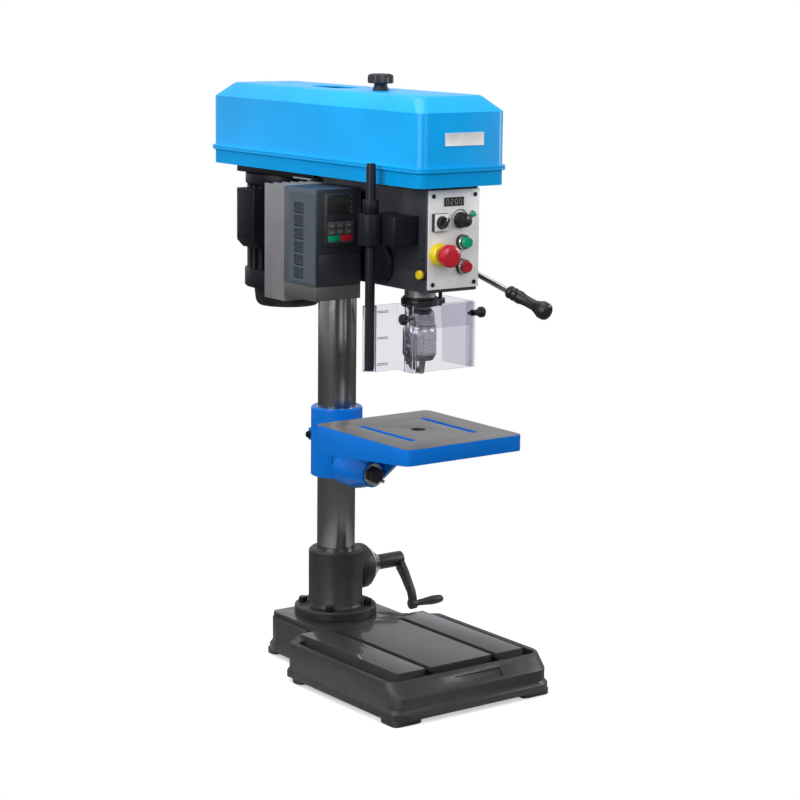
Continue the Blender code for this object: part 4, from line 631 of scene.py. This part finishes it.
@step
class AddLift(bpy.types.Operator):
    """Lift pinion shaft, lock ring, cranked arm and its grip"""
    bl_idname = "drill_press.add_lift"
    bl_label = "Lift crank"

    def execute(self, context):
        low, high, c = span("lift_lock_ring")
        ring = turned("lift_lock_ring_bright", [(0.0340, low.x), (0.0372, low.x + 0.0006),
            (0.0375, low.x + 0.0016), (0.0375, low.x + 0.0074), (0.0364, low.x + 0.0086),
            (0.0250, high.x - 0.0050), (0.0225, high.x - 0.0008), (0.0150, high.x),
            (0.0148, high.x - 0.0006)], (0, c.y, c.z), "X", "bright", "stand")
        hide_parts("lift_lock_ring")
        refine("lift_shaft", "steel", 0)
        refine("crank_arm", "casting", 0.0022, 3)
        low, high, c = span("crank_grip")
        grip = turned("crank_grip_turned", [(0.0050, low.x), (0.0066, low.x + 0.0006),
            (0.0068, low.x + 0.008), (0.0078, low.x + 0.024), (0.0094, low.x + 0.040),
            (0.0099, low.x + 0.050), (0.0096, low.x + 0.060), (0.0082, high.x - 0.0045),
            (0.0062, high.x - 0.0012), (0.0046, high.x)], (0, c.y, c.z), "X", "black", "crank_handle")
        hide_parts("crank_grip")
        return {"FINISHED"}


@step
class AddTable(bpy.types.Operator):
    """Table bracket, bush, clamp lever, milled table and tilt bolt"""
    bl_idname = "drill_press.add_table"
    bl_label = "Table"

    def execute(self, context):
        refine("table_bush", "steel", 0)
        refine("table_bracket", "table_blue", 0.0016, 3)
        refine("table_clamp_lever", "oxide", 0.0008)
        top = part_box("table_top")[1].z

        def on_top(c, n):
            return n.z > 0.95 and c.z > top - FACE_SKIN

        plate = refine("table_top", "table_blue", 0.0016, 3, "machined", on_top)
        hole = span("spindle")[2]
        # The bore's wall takes the dark casting paint as painted shade, for the shadow inside the hole.
        plate.data.materials.append(FINISHES["casting"].mat)
        for face in plate.data.polygons:
            if abs(face.normal.z) < 0.5 and math.dist(face.center[:2], hole[:2]) < TABLE_HOLE_SHADE_REACH:
                face.material_index = 2
        low, high, c = span("tilt_bolt")
        turned("tilt_washer", [(0.0236, 0), (0.0240, 0.0004), (0.0240, 0.0024), (0.0232, 0.0030)],
            (c.x, low.y + 0.0145, c.z), "-Y", "bright", "table_arm")
        nut = turned("tilt_bolt_head", [(0.0163, 0), (0.0173, 0.0008), (0.0173, 0.0100), (0.0158, 0.0114),
            (0.0120, 0.0115), (0.0116, 0.0108)], (c.x, low.y + 0.0115, c.z), "-Y", "black", "table_arm",
            6)
        turned("tilt_bolt_shank", [(0.008, 0), (0.008, high.y - low.y - 0.016)],
            (c.x, low.y + 0.0145, c.z), "Y", "oxide", "table_arm", 32)
        turned("tilt_pin", [(0.0040, 0), (0.0040, 0.013), (0.0034, 0.0142)],
            (c.x + 0.0180, low.y + 0.0180, c.z - 0.0150), "-Y", "bright", "table", 28)
        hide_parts("tilt_bolt")
        return {"FINISHED"}


@step
class AddHead(bpy.types.Operator):
    """Head casting and the return-spring cap"""
    bl_idname = "drill_press.add_head"
    bl_label = "Head"

    def execute(self, context):
        refine("head_casting", "head", 0.0016, 3)
        high, c = span("spring_cap")[1:]
        cap = turned("spring_cap_pressed", [(0.0385, 0), (0.0405, 0.0003), (0.0405, 0.0065),
            (0.0395, 0.0085), (0.0375, 0.0096), (0.0180, 0.0100), (0.0168, 0.0092), (0.0080, 0.0090)],
            (high.x, c.y, c.z), "-X", "satin_black", HEAD)
        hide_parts("spring_cap")
        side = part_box("head_casting")[0].x
        turned("head_grub_screw", [(0.0034, 0), (0.0034, 0.0016), (0.0026, 0.0022), (0.0016, 0.0010)],
            (side + 0.0004, COLUMN.y - 0.372, 0.886), "-X", "oxide", HEAD, 24)
        return {"FINISHED"}


@step
class AddPanel(bpy.types.Operator):
    """Control panel with display, selector, speed dial, lamp, push buttons and emergency stop"""
    bl_idname = "drill_press.add_panel"
    bl_label = "Control panel"

    def execute(self, context):
        low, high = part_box("control_panel")
        x0, x1, z0, z1 = low.x, high.x, low.z, high.z
        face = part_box("head_casting")[0].y - 0.0031
        plate = block("panel_plate", (x0, face, z0), (x1, face + 0.0028, z1), "panel", HEAD, 0.0006)
        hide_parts("control_panel")
        cx = COLUMN.x
        for n, (z, x) in enumerate((z, x) for z in (1.0087, 0.8384) for x in (-0.0505, 0.0505)):
            turned(f"panel_screw_{n + 1}", [(0.0042, 0), (0.0046, 0.0006), (0.0038, 0.0020),
                (0.0020, 0.0025)], (cx + x, face, z), "-Y", "oxide", HEAD, 28)
            for way, (w, h) in enumerate(((0.0026, 0.0005), (0.0005, 0.0026))):
                block(f"panel_screw_cross_{n + 1}_{way}", (cx + x - w, face - 0.0027, z - h),
                    (cx + x + w, face - 0.0020, z + h), "black", HEAD)
        x, z = cx - 0.0015, 0.997
        block("display_frame", (x - 0.024, face - 0.0014, z - 0.0085),
            (x + 0.024, face + 0.0004, z + 0.0085), "print", HEAD, 0.0004, 2, (0.0014, 0.0006))
        block("display_window", (x - 0.0226, face - 0.0011, z - 0.0071),
            (x + 0.0226, face - 0.0004, z + 0.0071), "glass", HEAD)
        self.digits(x, z, face - 0.0012)
        self.selector(cx - 0.0375, 0.9590)
        self.dial(cx + 0.0140, 0.961, face)
        self.lamp(cx + 0.0436, 0.971, face)
        self.push("start", cx + 0.0195, 0.9185, face, "green")
        self.push("stop", cx + 0.0200, 0.8710, face, "red")
        self.estop()
        self.side_button()
        return {"FINISHED"}

    def digits(self, x, z, y):
        """The readout's four seven-segment figures, with only their lit bars."""
        strokes = {"a": (0, 1, 1), "b": (1, 0.5, 0), "c": (1, -0.5, 0), "d": (0, -1, 1),
            "e": (-1, -0.5, 0), "f": (-1, 0.5, 0), "g": (0, 0, 1)}
        for place, lit in enumerate(("abcdef", "abged", "abcdef", "abcdef")):
            mid = x - 0.0162 + place * 0.0108
            for key in lit:
                sx, sz, flat = strokes[key]
                w, h = (0.0022, 0.0006) if flat else (0.0006, 0.0021)
                px, pz = mid + sx * 0.0027, z + sz * 0.0046
                block(f"digit_{place + 1}_{key}", (px - w, y, pz - h), (px + w, y + 0.0003, pz + h),
                    "digit", HEAD)

    def selector(self, x, z):
        low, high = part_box("selector_body")
        frame_piece = block("selector_body_block", (low.x, low.y + 0.0012, low.z),
            (high.x, high.y, high.z), "black", HEAD, 0.0008)
        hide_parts("selector_body")
        block("selector_plate", (low.x + 0.0006, low.y, low.z + 0.0006),
            (high.x - 0.0006, low.y + 0.0016, high.z - 0.0006), "panel", HEAD, 0.0004)
        front = low.y
        turned("selector_ring", [(0.0128, 0), (0.0128, 0.0005), (0.0120, 0.0007)], (x, front, z), "-Y",
            "print", HEAD)
        base = turned("selector_knob_base", [(0.0104, 0.0008), (0.0112, 0.0014), (0.0110, 0.0062),
            (0.0098, 0.0074)], (x, front, z), "-Y", "black", "selector")
        wing = block("selector_wing", (x - 0.0034, front - 0.0164, z - 0.0106),
            (x + 0.0034, front - 0.0064, z + 0.0106), "black", "selector", 0.0014, 3)
        pick(wing)
        turn = Matrix.Rotation(math.radians(SELECTOR_TURN), 4, "Y")
        wing.matrix_world = Matrix.Translation((x, 0, z)) @ turn @ Matrix.Translation((-x, 0, -z))
        dress(wing, "selector_wing", "black", "selector")
        block("selector_pointer", (x - 0.0006, front - 0.0169, z + 0.004),
            (x + 0.0006, front - 0.0160, z + 0.0100), "panel", "selector")
        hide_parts("selector_knob")

    def dial(self, x, z, face):
        skirt = turned("dial_skirt", [(0.0150, 0.0008), (0.0158, 0.0016), (0.0156, 0.0056),
            (0.0134, 0.0078), (0.0126, 0.0130), (0.0120, 0.0232), (0.0110, 0.0246), (0.0098, 0.0248)],
            (x, face, z), "-Y", "black", "dial", 96, (0.0005, 0.0075, 0.0236))
        turned("dial_face", [(0.0092, 0), (0.0094, 0.0002), (0.0090, 0.0004)], (x, face - 0.0247, z),
            "-Y", "black", "dial", 48)
        block("dial_pointer", (x - 0.0007, face - 0.0253, z + 0.0034),
            (x + 0.0007, face - 0.0250, z + 0.0088), "panel", "dial")
        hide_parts("speed_dial")
        for n in range(23):
            angle = math.radians(225 - n * 270 / 22)
            size = 0.0010 + 0.0013 * n / 22
            px, pz = x + 0.0196 * math.cos(angle), z + 0.0196 * math.sin(angle)
            turned(f"dial_scale_{n + 1:02d}", [(size, 0), (size, 0.0002)], (px, face, pz), "-Y", "print",
                HEAD, 12)

    def lamp(self, x, z, face):
        turned("lamp_ring", [(0.0072, 0), (0.0072, 0.0012), (0.0062, 0.0020)], (x, face, z), "-Y",
            "bright", HEAD, 40)
        turned("lamp_lens", [(0.0062, 0.0014), (0.0062, 0.0040), (0.0056, 0.0064), (0.0042, 0.0082),
            (0.0020, 0.0090)], (x, face, z), "-Y", "green", HEAD, 40)

    def push(self, name, x, z, face, finish):
        turned(name + "_bezel_barrel", [(0.0142, 0), (0.0148, 0.0006), (0.0148, 0.0080),
            (0.0140, 0.0090)], (x, face, z), "-Y", "black", HEAD)
        turned(name + "_bezel_ring", [(0.0140, 0.0088), (0.0146, 0.0094), (0.0147, 0.0118),
            (0.0140, 0.0130), (0.0126, 0.0133), (0.0122, 0.0118)], (x, face, z), "-Y", "bright", HEAD)
        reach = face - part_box(name + "_button")[0].y
        cap = turned(name + "_cap", [(0.0106, -0.0300), (0.0108, 0.0125), (0.0108, reach - 0.0018),
            (0.0101, reach - 0.0005), (0.0088, reach), (0.0070, reach - 0.0003)], (x, face, z), "-Y",
            finish, body_of(name + "_button"))
        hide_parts(name + "_button")

    def estop(self):
        low, high, c = span("estop_base")
        plate = turned("estop_collar", [(0.0214, 0), (0.0220, 0.0006), (0.0218, 0.0110), (0.0200, 0.0140),
            (0.0180, 0.0158), (0.0150, 0.0160)], (c.x, high.y, c.z), "-Y", "yellow", HEAD)
        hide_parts("estop_base")
        low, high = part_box("estop_button")
        reach = high.y - low.y
        cap = turned("estop_mushroom", [(0.0108, 0), (0.0108, reach - 0.0262), (0.0160, reach - 0.0252),
            (0.0198, reach - 0.0225), (0.0219, reach - 0.0185), (0.0225, reach - 0.0135),
            (0.0223, reach - 0.0080), (0.0206, reach - 0.0030), (0.0172, reach - 0.0008), (0.0120, reach),
            (0.0060, reach - 0.0002)], (c.x, high.y, c.z), "-Y", "red", "emergency_stop", 96)
        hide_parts("estop_button")
        turned("estop_dark_neck", [(0.0122, 0), (0.0122, 0.0075)], (c.x, high.y - reach + 0.0330, c.z),
            "-Y", "black", "emergency_stop", 48)

    def side_button(self):
        high, c = span("side_button")[1:]
        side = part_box("head_casting")[0].x
        turned("side_button_collar", [(0.0118, 0), (0.0120, 0.0006), (0.0118, 0.0036), (0.0104, 0.0044)],
            (side, c.y, c.z), "-X", "black", HEAD, 48)
        cap = turned("side_button_cap", [(0.0060, 0), (0.0060, 0.0165), (0.0086, 0.0180),
            (0.0090, 0.0190), (0.0088, 0.0235), (0.0076, 0.0252), (0.0050, 0.0255)], (high.x, c.y, c.z),
            "-X", "yellow", "side_switch", 48)
        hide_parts("side_button")


@step
class AddFeed(bpy.types.Operator):
    """Feed shaft, hub and the levers with their moulded grips"""
    bl_idname = "drill_press.add_feed"
    bl_label = "Feed levers"

    def execute(self, context):
        refine("feed_shaft", "steel", 0)
        c = span("feed_hub")[2]
        refine("feed_hub", "satin_black", 0.0010, 2)
        for i in range(3):
            node = f"feed_lever_{i + 1}"
            angle = math.radians(LEVER_TILT + 120 * i)
            turn = Matrix.Rotation(angle, 4, "X") @ Matrix.Rotation(math.atan(LEVER_CONE), 4, "Y")
            stretch = math.sqrt(1 + LEVER_CONE ** 2)
            root = Matrix.Translation((COLUMN.x + 0.100, c.y, c.z)) @ turn
            a, b = GRIP_FROM * stretch, GRIP_TO * stretch
            shaft = [(0.0058, 0.0129), (0.0060, 0.0135), (0.0060, a + 0.006)]
            grip = [(0.0064, a), (0.0100, a + 0.0006), (0.0128, a + 0.0040), (0.0132, a + 0.0080),
                (0.0120, a + 0.0105), (0.0118, a + 0.0125), (0.0132, a + 0.0150), (0.0132, a + 0.0190),
                (0.0120, a + 0.0215), (0.0118, a + 0.0235), (0.0132, a + 0.0260), (0.0132, a + 0.0320),
                (0.0112, a + 0.0400), (0.0106, a + 0.0520), (0.0108, a + 0.0680), (0.0140, b - 0.0260),
                (sizes().grip_swell, b - 0.0180), (sizes().grip_swell, b - 0.0080), (0.0160, b - 0.0030),
                (0.0128, b - 0.0004), (0.0040, b)]
            for name, profile, finish in (("rod", shaft, "steel"), ("grip", grip, "black")):
                piece = self.along(f"feed_lever_{name}_{i + 1}", profile, root, finish)
                if name == "rod":
                    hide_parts(node)
        return {"FINISHED"}

    def along(self, name, profile, root, finish):
        AXIS["lever"] = Matrix.Translation(-root.translation) @ root
        return turned(name, profile, root.translation, "lever", finish, "feed", 48)


@step
class AddSpindle(bpy.types.Operator):
    """Quill, depth-stop collar, spindle, chuck with knurled ring and jaws"""
    bl_idname = "drill_press.add_spindle"
    bl_label = "Spindle and chuck"

    def execute(self, context):
        c = span("quill")[2]
        refine("quill", "steel", 0)
        turned("quill_sleeve", [(0.0305, 0.7972), (0.03103, 0.7978), (0.03103, 0.8300), (0.0305, 0.8302)],
            (c.x, c.y, 0), "Z", "steel", "quill_slide_body", 96)
        refine("quill_collar", "oxide", 0.0005)
        turned("quill_seal_ring", [(0.0335, 0.7973), (0.0345, 0.7980), (0.0345, 0.8004),
            (0.0335, 0.8010)], (c.x, c.y, 0), "Z", "black", "quill_slide_body", 72)
        refine("spindle", "steel", 0.0003)
        refine("chuck_body", "steel", 0.0005)
        low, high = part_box("chuck_sleeve")
        ring = turned("chuck_ring_knurled", [(0.0268, low.z), (0.0275, low.z), (0.0322, low.z + 0.0082),
            (0.0327, low.z + 0.0100), (0.0335, low.z + 0.0108), (0.0335, low.z + 0.0200),
            (0.0335, high.z - 0.0200), (0.0335, high.z - 0.0108), (0.0327, high.z - 0.0100),
            (0.0318, high.z - 0.0004), (0.0300, high.z)], (c.x, c.y, 0), "Z", "steel", "chuck_ring",
            sizes().knurl * 2, (0.0009, low.z + 0.0105, high.z - 0.0106))
        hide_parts("chuck_sleeve")
        for i in range(3):
            refine(f"chuck_jaw_{i + 1}", "bright", 0.0003)
        return {"FINISHED"}


@step
class AddCover(bpy.types.Operator):
    """Belt cover tray and lid, lid knob, top recess and blank badge"""
    bl_idname = "drill_press.add_cover"
    bl_label = "Belt cover"

    def execute(self, context):
        refine("belt_cover_base", "azure", 0.0010, 3)
        refine("belt_cover_lid", "azure", 0.0026, 3)
        low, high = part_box("badge_plate")
        badge = block("badge_blank", (low.x, low.y, low.z), high, "panel", "cover_lid", 0.0004, 2,
            (0.0012, 0.0004))
        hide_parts("badge_plate")
        low, high, c = span("lid_knob")
        turned("lid_knob_stem", [(0.0160, low.z), (0.0166, low.z + 0.0010), (0.0150, low.z + 0.0050),
            (0.0130, low.z + 0.0100), (0.0140, high.z - 0.0185)], (c.x, c.y, 0), "Z", "black",
            "cover_knob")
        crown = self.crown(c, high.z)
        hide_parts("lid_knob")
        turned("lid_knob_insert", [(0.0070, 0), (0.0070, 0.0006), (0.0060, 0.0010)],
            (c.x, c.y, high.z - 0.0012), "Z", "bright", "cover_knob", 32)
        return {"FINISHED"}

    def crown(self, c, top):
        """The seven-lobed head: a disc whose rim is pressed in between lobes."""
        pick_none()
        count, r = 84, 0.0262
        bpy.ops.mesh.primitive_circle_add(vertices=count, radius=r - 0.002, fill_type="NGON",
            location=(0, 0, 0))
        piece = bpy.context.active_object
        bpy.ops.object.mode_set(mode="EDIT")
        bpy.ops.mesh.select_all(action="SELECT")
        last = r - 0.002
        for radius, rise in ((r, 0.0020), (r, 0.0110), (r - 0.0020, 0.0042), (r - 0.0080, 0.0016),
                (0.010, 0.0004)):
            bpy.ops.mesh.extrude_region_move(TRANSFORM_OT_translate={"value": (0, 0, rise)})
            bpy.ops.transform.resize(value=(radius / last, radius / last, 1), center_override=(0, 0, 0))
            last = radius
        bpy.ops.mesh.select_all(action="SELECT")
        bpy.ops.mesh.normals_make_consistent(inside=False)
        bpy.ops.object.mode_set(mode="OBJECT")
        tall = max(v.co.z for v in piece.data.vertices)
        for v in piece.data.vertices:
            reach = math.hypot(v.co.x, v.co.y)
            if reach > 0.0205:
                lobe = 0.5 + 0.5 * math.cos(7 * math.atan2(v.co.y, v.co.x))
                k = 1 - 0.0045 * (1 - lobe) ** 1.5 / reach
                v.co.x *= k
                v.co.y *= k
        piece.location = (c.x, c.y, top - tall)
        return dress(piece, "lid_knob_crown", "black", "cover_knob")


@step
class AddDrive(bpy.types.Operator):
    """Pulleys, belt, motor, its plate and fan cowl"""
    bl_idname = "drill_press.add_drive"
    bl_label = "Motor and belt"

    def execute(self, context):
        refine("spindle_pulley", "alloy", 0.0004)
        refine("motor_pulley", "alloy", 0.0004)
        refine("drive_belt", "rubber", 0)
        refine("motor_plate", "satin_black", 0.0010)
        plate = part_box("motor_plate")[0]
        block("motor_slide_bracket", (COLUMN.x - 0.086, plate.y - 0.011, plate.z + 0.0020),
            (COLUMN.x - 0.0625, plate.y + 0.055, plate.z + 0.0060), "alloy", HEAD, 0.0006)
        refine("motor_body", "satin_black", 0.0008)
        low, high, c = span("fan_cowl")
        cowl = turned("fan_cowl_pressed", [(0.0560, low.z), (0.0620, low.z + 0.0006),
            (0.0660, low.z + 0.0044), (0.0688, low.z + 0.0110), (0.0698, low.z + 0.0190),
            (0.0716, high.z - 0.0080), (0.0710, high.z - 0.0072), (0.0717, high.z - 0.0060),
            (0.0720, high.z)], (c.x, c.y, 0), "Z", "black", HEAD, 96)
        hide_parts("fan_cowl")
        for n in range(4):
            ring = 0.011 * n
            turned(f"fan_grille_{n + 1}", [(0.012 + ring, 0), (0.0125 + ring, 0.0008),
                (0.010 + ring, 0.0009)], (c.x, c.y, low.z + 0.0009 - 0.0002 * n), "-Z", "satin_black",
                HEAD, 64)
        low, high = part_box("motor_body")
        block("terminal_box_lid", (low.x, c.y - 0.0325, 0.8735), (low.x + 0.0035, c.y + 0.0325, 0.9795),
            "black", HEAD, 0.0010)
        for n, z in enumerate((0.880, 0.973)):
            for way in (-1, 1):
                turned(f"terminal_box_screw_{n}_{way + 1}", [(0.0030, 0), (0.0032, 0.0004),
                    (0.0016, 0.0006)], (low.x + 0.0006, c.y + way * 0.0265, z), "-X", "oxide", HEAD, 20)
        return {"FINISHED"}


@step
class AddInverter(bpy.types.Operator):
    """Frequency drive with keypad, vented side, terminal cover and heat sink"""
    bl_idname = "drill_press.add_inverter"
    bl_label = "Frequency drive"

    def execute(self, context):
        low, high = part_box("inverter_housing")
        front, deep = low.y + 0.0035, 0.0012
        # faces turned to the left get the lighter slate, as painted light on that side
        shell = refine("inverter_housing", "slate", 0.0010, 2, "slate_lit_side",
            lambda c, n: n.x < -0.9 and c.x < low.x + 0.0005)
        for v in shell.data.vertices:
            if v.co.x < low.x + 0.0015:
                v.co.x += deep
        refine("inverter_terminal_cover", "taupe", 0.0008)
        refine("inverter_heatsink", "sink", 0.0006)
        self.side(low.x, deep, front)
        self.keypad(COLUMN.x, low.y)
        block("drive_lower_ledge", (low.x + 0.004, front - 0.0014, 0.8880),
            (high.x - 0.002, front + 0.0006, 0.8900), "slate", HEAD, 0.0003)
        block("drive_lower_door", (low.x + 0.008, front - 0.0006, 0.8290),
            (high.x - 0.006, front + 0.0006, 0.8850), "slate", HEAD, 0.0003)
        return {"FINISHED"}

    def side(self, x, deep, front):
        """Raised side panel: two posts and the rungs between six louvred pockets."""
        y0, y1, z0, z1 = front + 0.0008, COLUMN.y - 0.1057, 0.8274, 1.0027
        vent_y0, vent_y1, vent_z, pitch, tall = COLUMN.y - 0.155, COLUMN.y - 0.122, 0.8335, 0.0257, 0.0215
        # the side pieces take the lighter slate, painted light on the lit side
        block("drive_side_front", (x, y0, z0), (x + deep + 0.0002, vent_y0, z1), "slate_lit_side", HEAD)
        block("drive_side_rear", (x, vent_y1, z0), (x + deep + 0.0002, y1, z1), "slate_lit_side", HEAD)
        edges = [z0] + [vent_z + pitch * n + part for n in range(6) for part in (0, tall)] + [z1]
        for n in range(7):
            block(f"drive_side_rung_{n + 1}", (x, vent_y0, edges[2 * n]),
                (x + deep + 0.0002, vent_y1, edges[2 * n + 1]), "slate_lit_side", HEAD)
        for n in range(6):
            for k in range(5):
                z = vent_z + pitch * n + 0.0030 + 0.0039 * k
                block(f"drive_louvre_{n + 1}_{k + 1}", (x + deep * 0.6, vent_y0, z),
                    (x + deep + 0.0016, vent_y1, z + 0.0017), "slate_lit_side", HEAD)

    def keypad(self, cx, y):
        """Six keys over a green and a red one in a thin border, below a dark display."""
        x0, x1, z0, z1 = cx - 0.1655, cx - 0.1050, 0.9080, 0.9480
        block("keypad_border", (x0, y - 0.0001, z0), (x1, y + 0.0010, z1), "keyline", HEAD)
        block("keypad_field", (x0 + 0.0007, y - 0.0002, z0 + 0.0007),
            (x1 - 0.0007, y + 0.0010, z1 - 0.0007), "slate", HEAD)
        wide, tall, gap = 0.0182, 0.0112, 0.0014
        for row in range(2):
            for col in range(3):
                x, z = x0 + 0.0016 + col * (wide + gap), z1 - 0.0016 - row * (tall + gap)
                block(f"keypad_key_{row}_{col}", (x, y - 0.0010, z - tall), (x + wide, y + 0.0002, z),
                    "taupe", HEAD, 0.0004)
                block(f"keypad_mark_{row}_{col}", (x + 0.0050, y - 0.0012, z - 0.0068),
                    (x + wide - 0.0050, y - 0.0009, z - 0.0046), "keyline", HEAD)
        mid, z = (x0 + x1) / 2, z1 - 0.0016 - 2 * (tall + gap)
        block("keypad_run", (x0 + 0.0016, y - 0.0010, z - tall), (mid - 0.0007, y + 0.0002, z), "green",
            HEAD, 0.0004)
        block("keypad_halt", (mid + 0.0007, y - 0.0010, z - tall), (x1 - 0.0016, y + 0.0002, z), "red",
            HEAD, 0.0004)
        block("drive_readout", (cx - 0.1660, y - 0.0006, 0.9630), (cx - 0.1155, y + 0.0010, 1.0000),
            "glass", HEAD, 0.0005)
        for n in range(4):
            turned(f"drive_light_{n + 1}", [(0.0012, 0), (0.0012, 0.0003)],
                (cx - 0.1100, y, 0.9670 + 0.0100 * n), "-Y", "keyline", HEAD, 16)


@step
class AddGuard(bpy.types.Operator):
    """Guard bracket, rod, clamp ring, clear screens and their knobs"""
    bl_idname = "drill_press.add_guard"
    bl_label = "Chuck guard"

    def execute(self, context):
        refine("guard_bracket", "satin_black", 0.0016, 3)
        low, high, c = span("guard_rod")
        rod = turned("guard_rod_ground", [(0.0085, low.z), (0.0095, low.z + 0.0010),
            (0.0095, high.z - 0.0200), (0.0092, high.z - 0.0190), (0.0092, high.z - 0.0040),
            (0.0078, high.z)], (c.x, c.y, 0), "Z", "satin_black", "guard_post", 64)
        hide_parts("guard_rod")
        refine("guard_collar", "satin_black", 0.0010)
        for node in ("guard_side_shield", "guard_front_shield"):
            refine(node, "clear", 0.0005, 2, "clear_edge", lambda c, n: abs(n.z) > 0.5)
        z0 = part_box("guard_side_shield")[0].z
        z1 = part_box("guard_side_shield")[1].z
        y = c.y - GUARD_PANE
        for n, z in enumerate((z1 - 0.0140, (z0 + z1) / 2, z0 + 0.0140), 1):
            for part, upto in (("upper", z + 0.0020), ("lower", z - 0.0008)):
                block(f"guard_rib_{part}_{n}", (c.x + 0.0142, y - 0.0008, upto - 0.0012),
                    (c.x + 0.0400, y + 0.0002, upto), "clear_edge", body_of("guard_side_shield"))
        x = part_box("guard_front_shield")[0].x
        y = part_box("guard_front_shield")[0].y
        for row in range(4):
            z = z0 + 0.0160 + 0.0135 * row
            for col in range(2):
                near = y + 0.0075 + 0.0068 * col
                block(f"guard_ladder_{row + 1}_{col + 1}", (x - 0.0008, near, z),
                    (x + 0.0003, near + 0.0046, z + 0.0075), "slate", body_of("guard_front_shield"),
                    0.0003)
        for side, way, stem in (("left", "-X", 0.0103), ("right", "X", 0.0223)):
            node = f"guard_knob_{side}"
            low, high, c = span(node)
            inner = high.x if way == "-X" else low.x
            knob = turned(f"screen_knob_{side}_fluted", [(0.0026, 0), (0.0026, 0.0084), (0.0060, 0.0086),
                (0.0062, stem), (0.0085, stem + 0.0040), (0.0104, stem + 0.0058), (0.0109, stem + 0.0070),
                (0.0109, stem + 0.0133), (0.0100, stem + 0.0151), (0.0080, stem + 0.0160),
                (0.0040, stem + 0.0160)], (inner, c.y, c.z), way, "black", body_of(node), 36,
                (0.0009, stem + 0.0057, stem + 0.0152))
            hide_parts(node)
        return {"FINISHED"}


class DrillPressPanel(bpy.types.Panel):
    """Lists the steps and the sizes and colours they use"""
    bl_idname = "VIEW3D_PT_drill_press"
    bl_label = "Drill Press"
    bl_space_type = "VIEW_3D"
    bl_region_type = "UI"
    bl_category = "Drill Press"

    def draw(self, context):
        for group in (context.scene.drill_press_sizes, context.scene.drill_press_colours):
            for key in group.__annotations__:
                self.layout.prop(group, key)
        for cls in STEPS:
            self.layout.operator(cls.bl_idname)


CLASSES = [DrillPressSizes, DrillPressColours, DrillPressPanel]


def register():
    for cls in CLASSES + STEPS:
        bpy.utils.register_class(cls)
    bpy.types.Scene.drill_press_sizes = PointerProperty(type=DrillPressSizes)
    bpy.types.Scene.drill_press_colours = PointerProperty(type=DrillPressColours)


def unregister():
    del bpy.types.Scene.drill_press_sizes
    del bpy.types.Scene.drill_press_colours
    for cls in reversed(CLASSES + STEPS):
        bpy.utils.unregister_class(cls)


def main():
    register()
    make_finishes()
    for cls in STEPS:
        group, name = cls.bl_idname.split(".")
        if getattr(getattr(bpy.ops, group), name)() != {"FINISHED"}:
            raise RuntimeError(f"{cls.bl_label} did not finish")


if __name__ == "__main__":
    main()
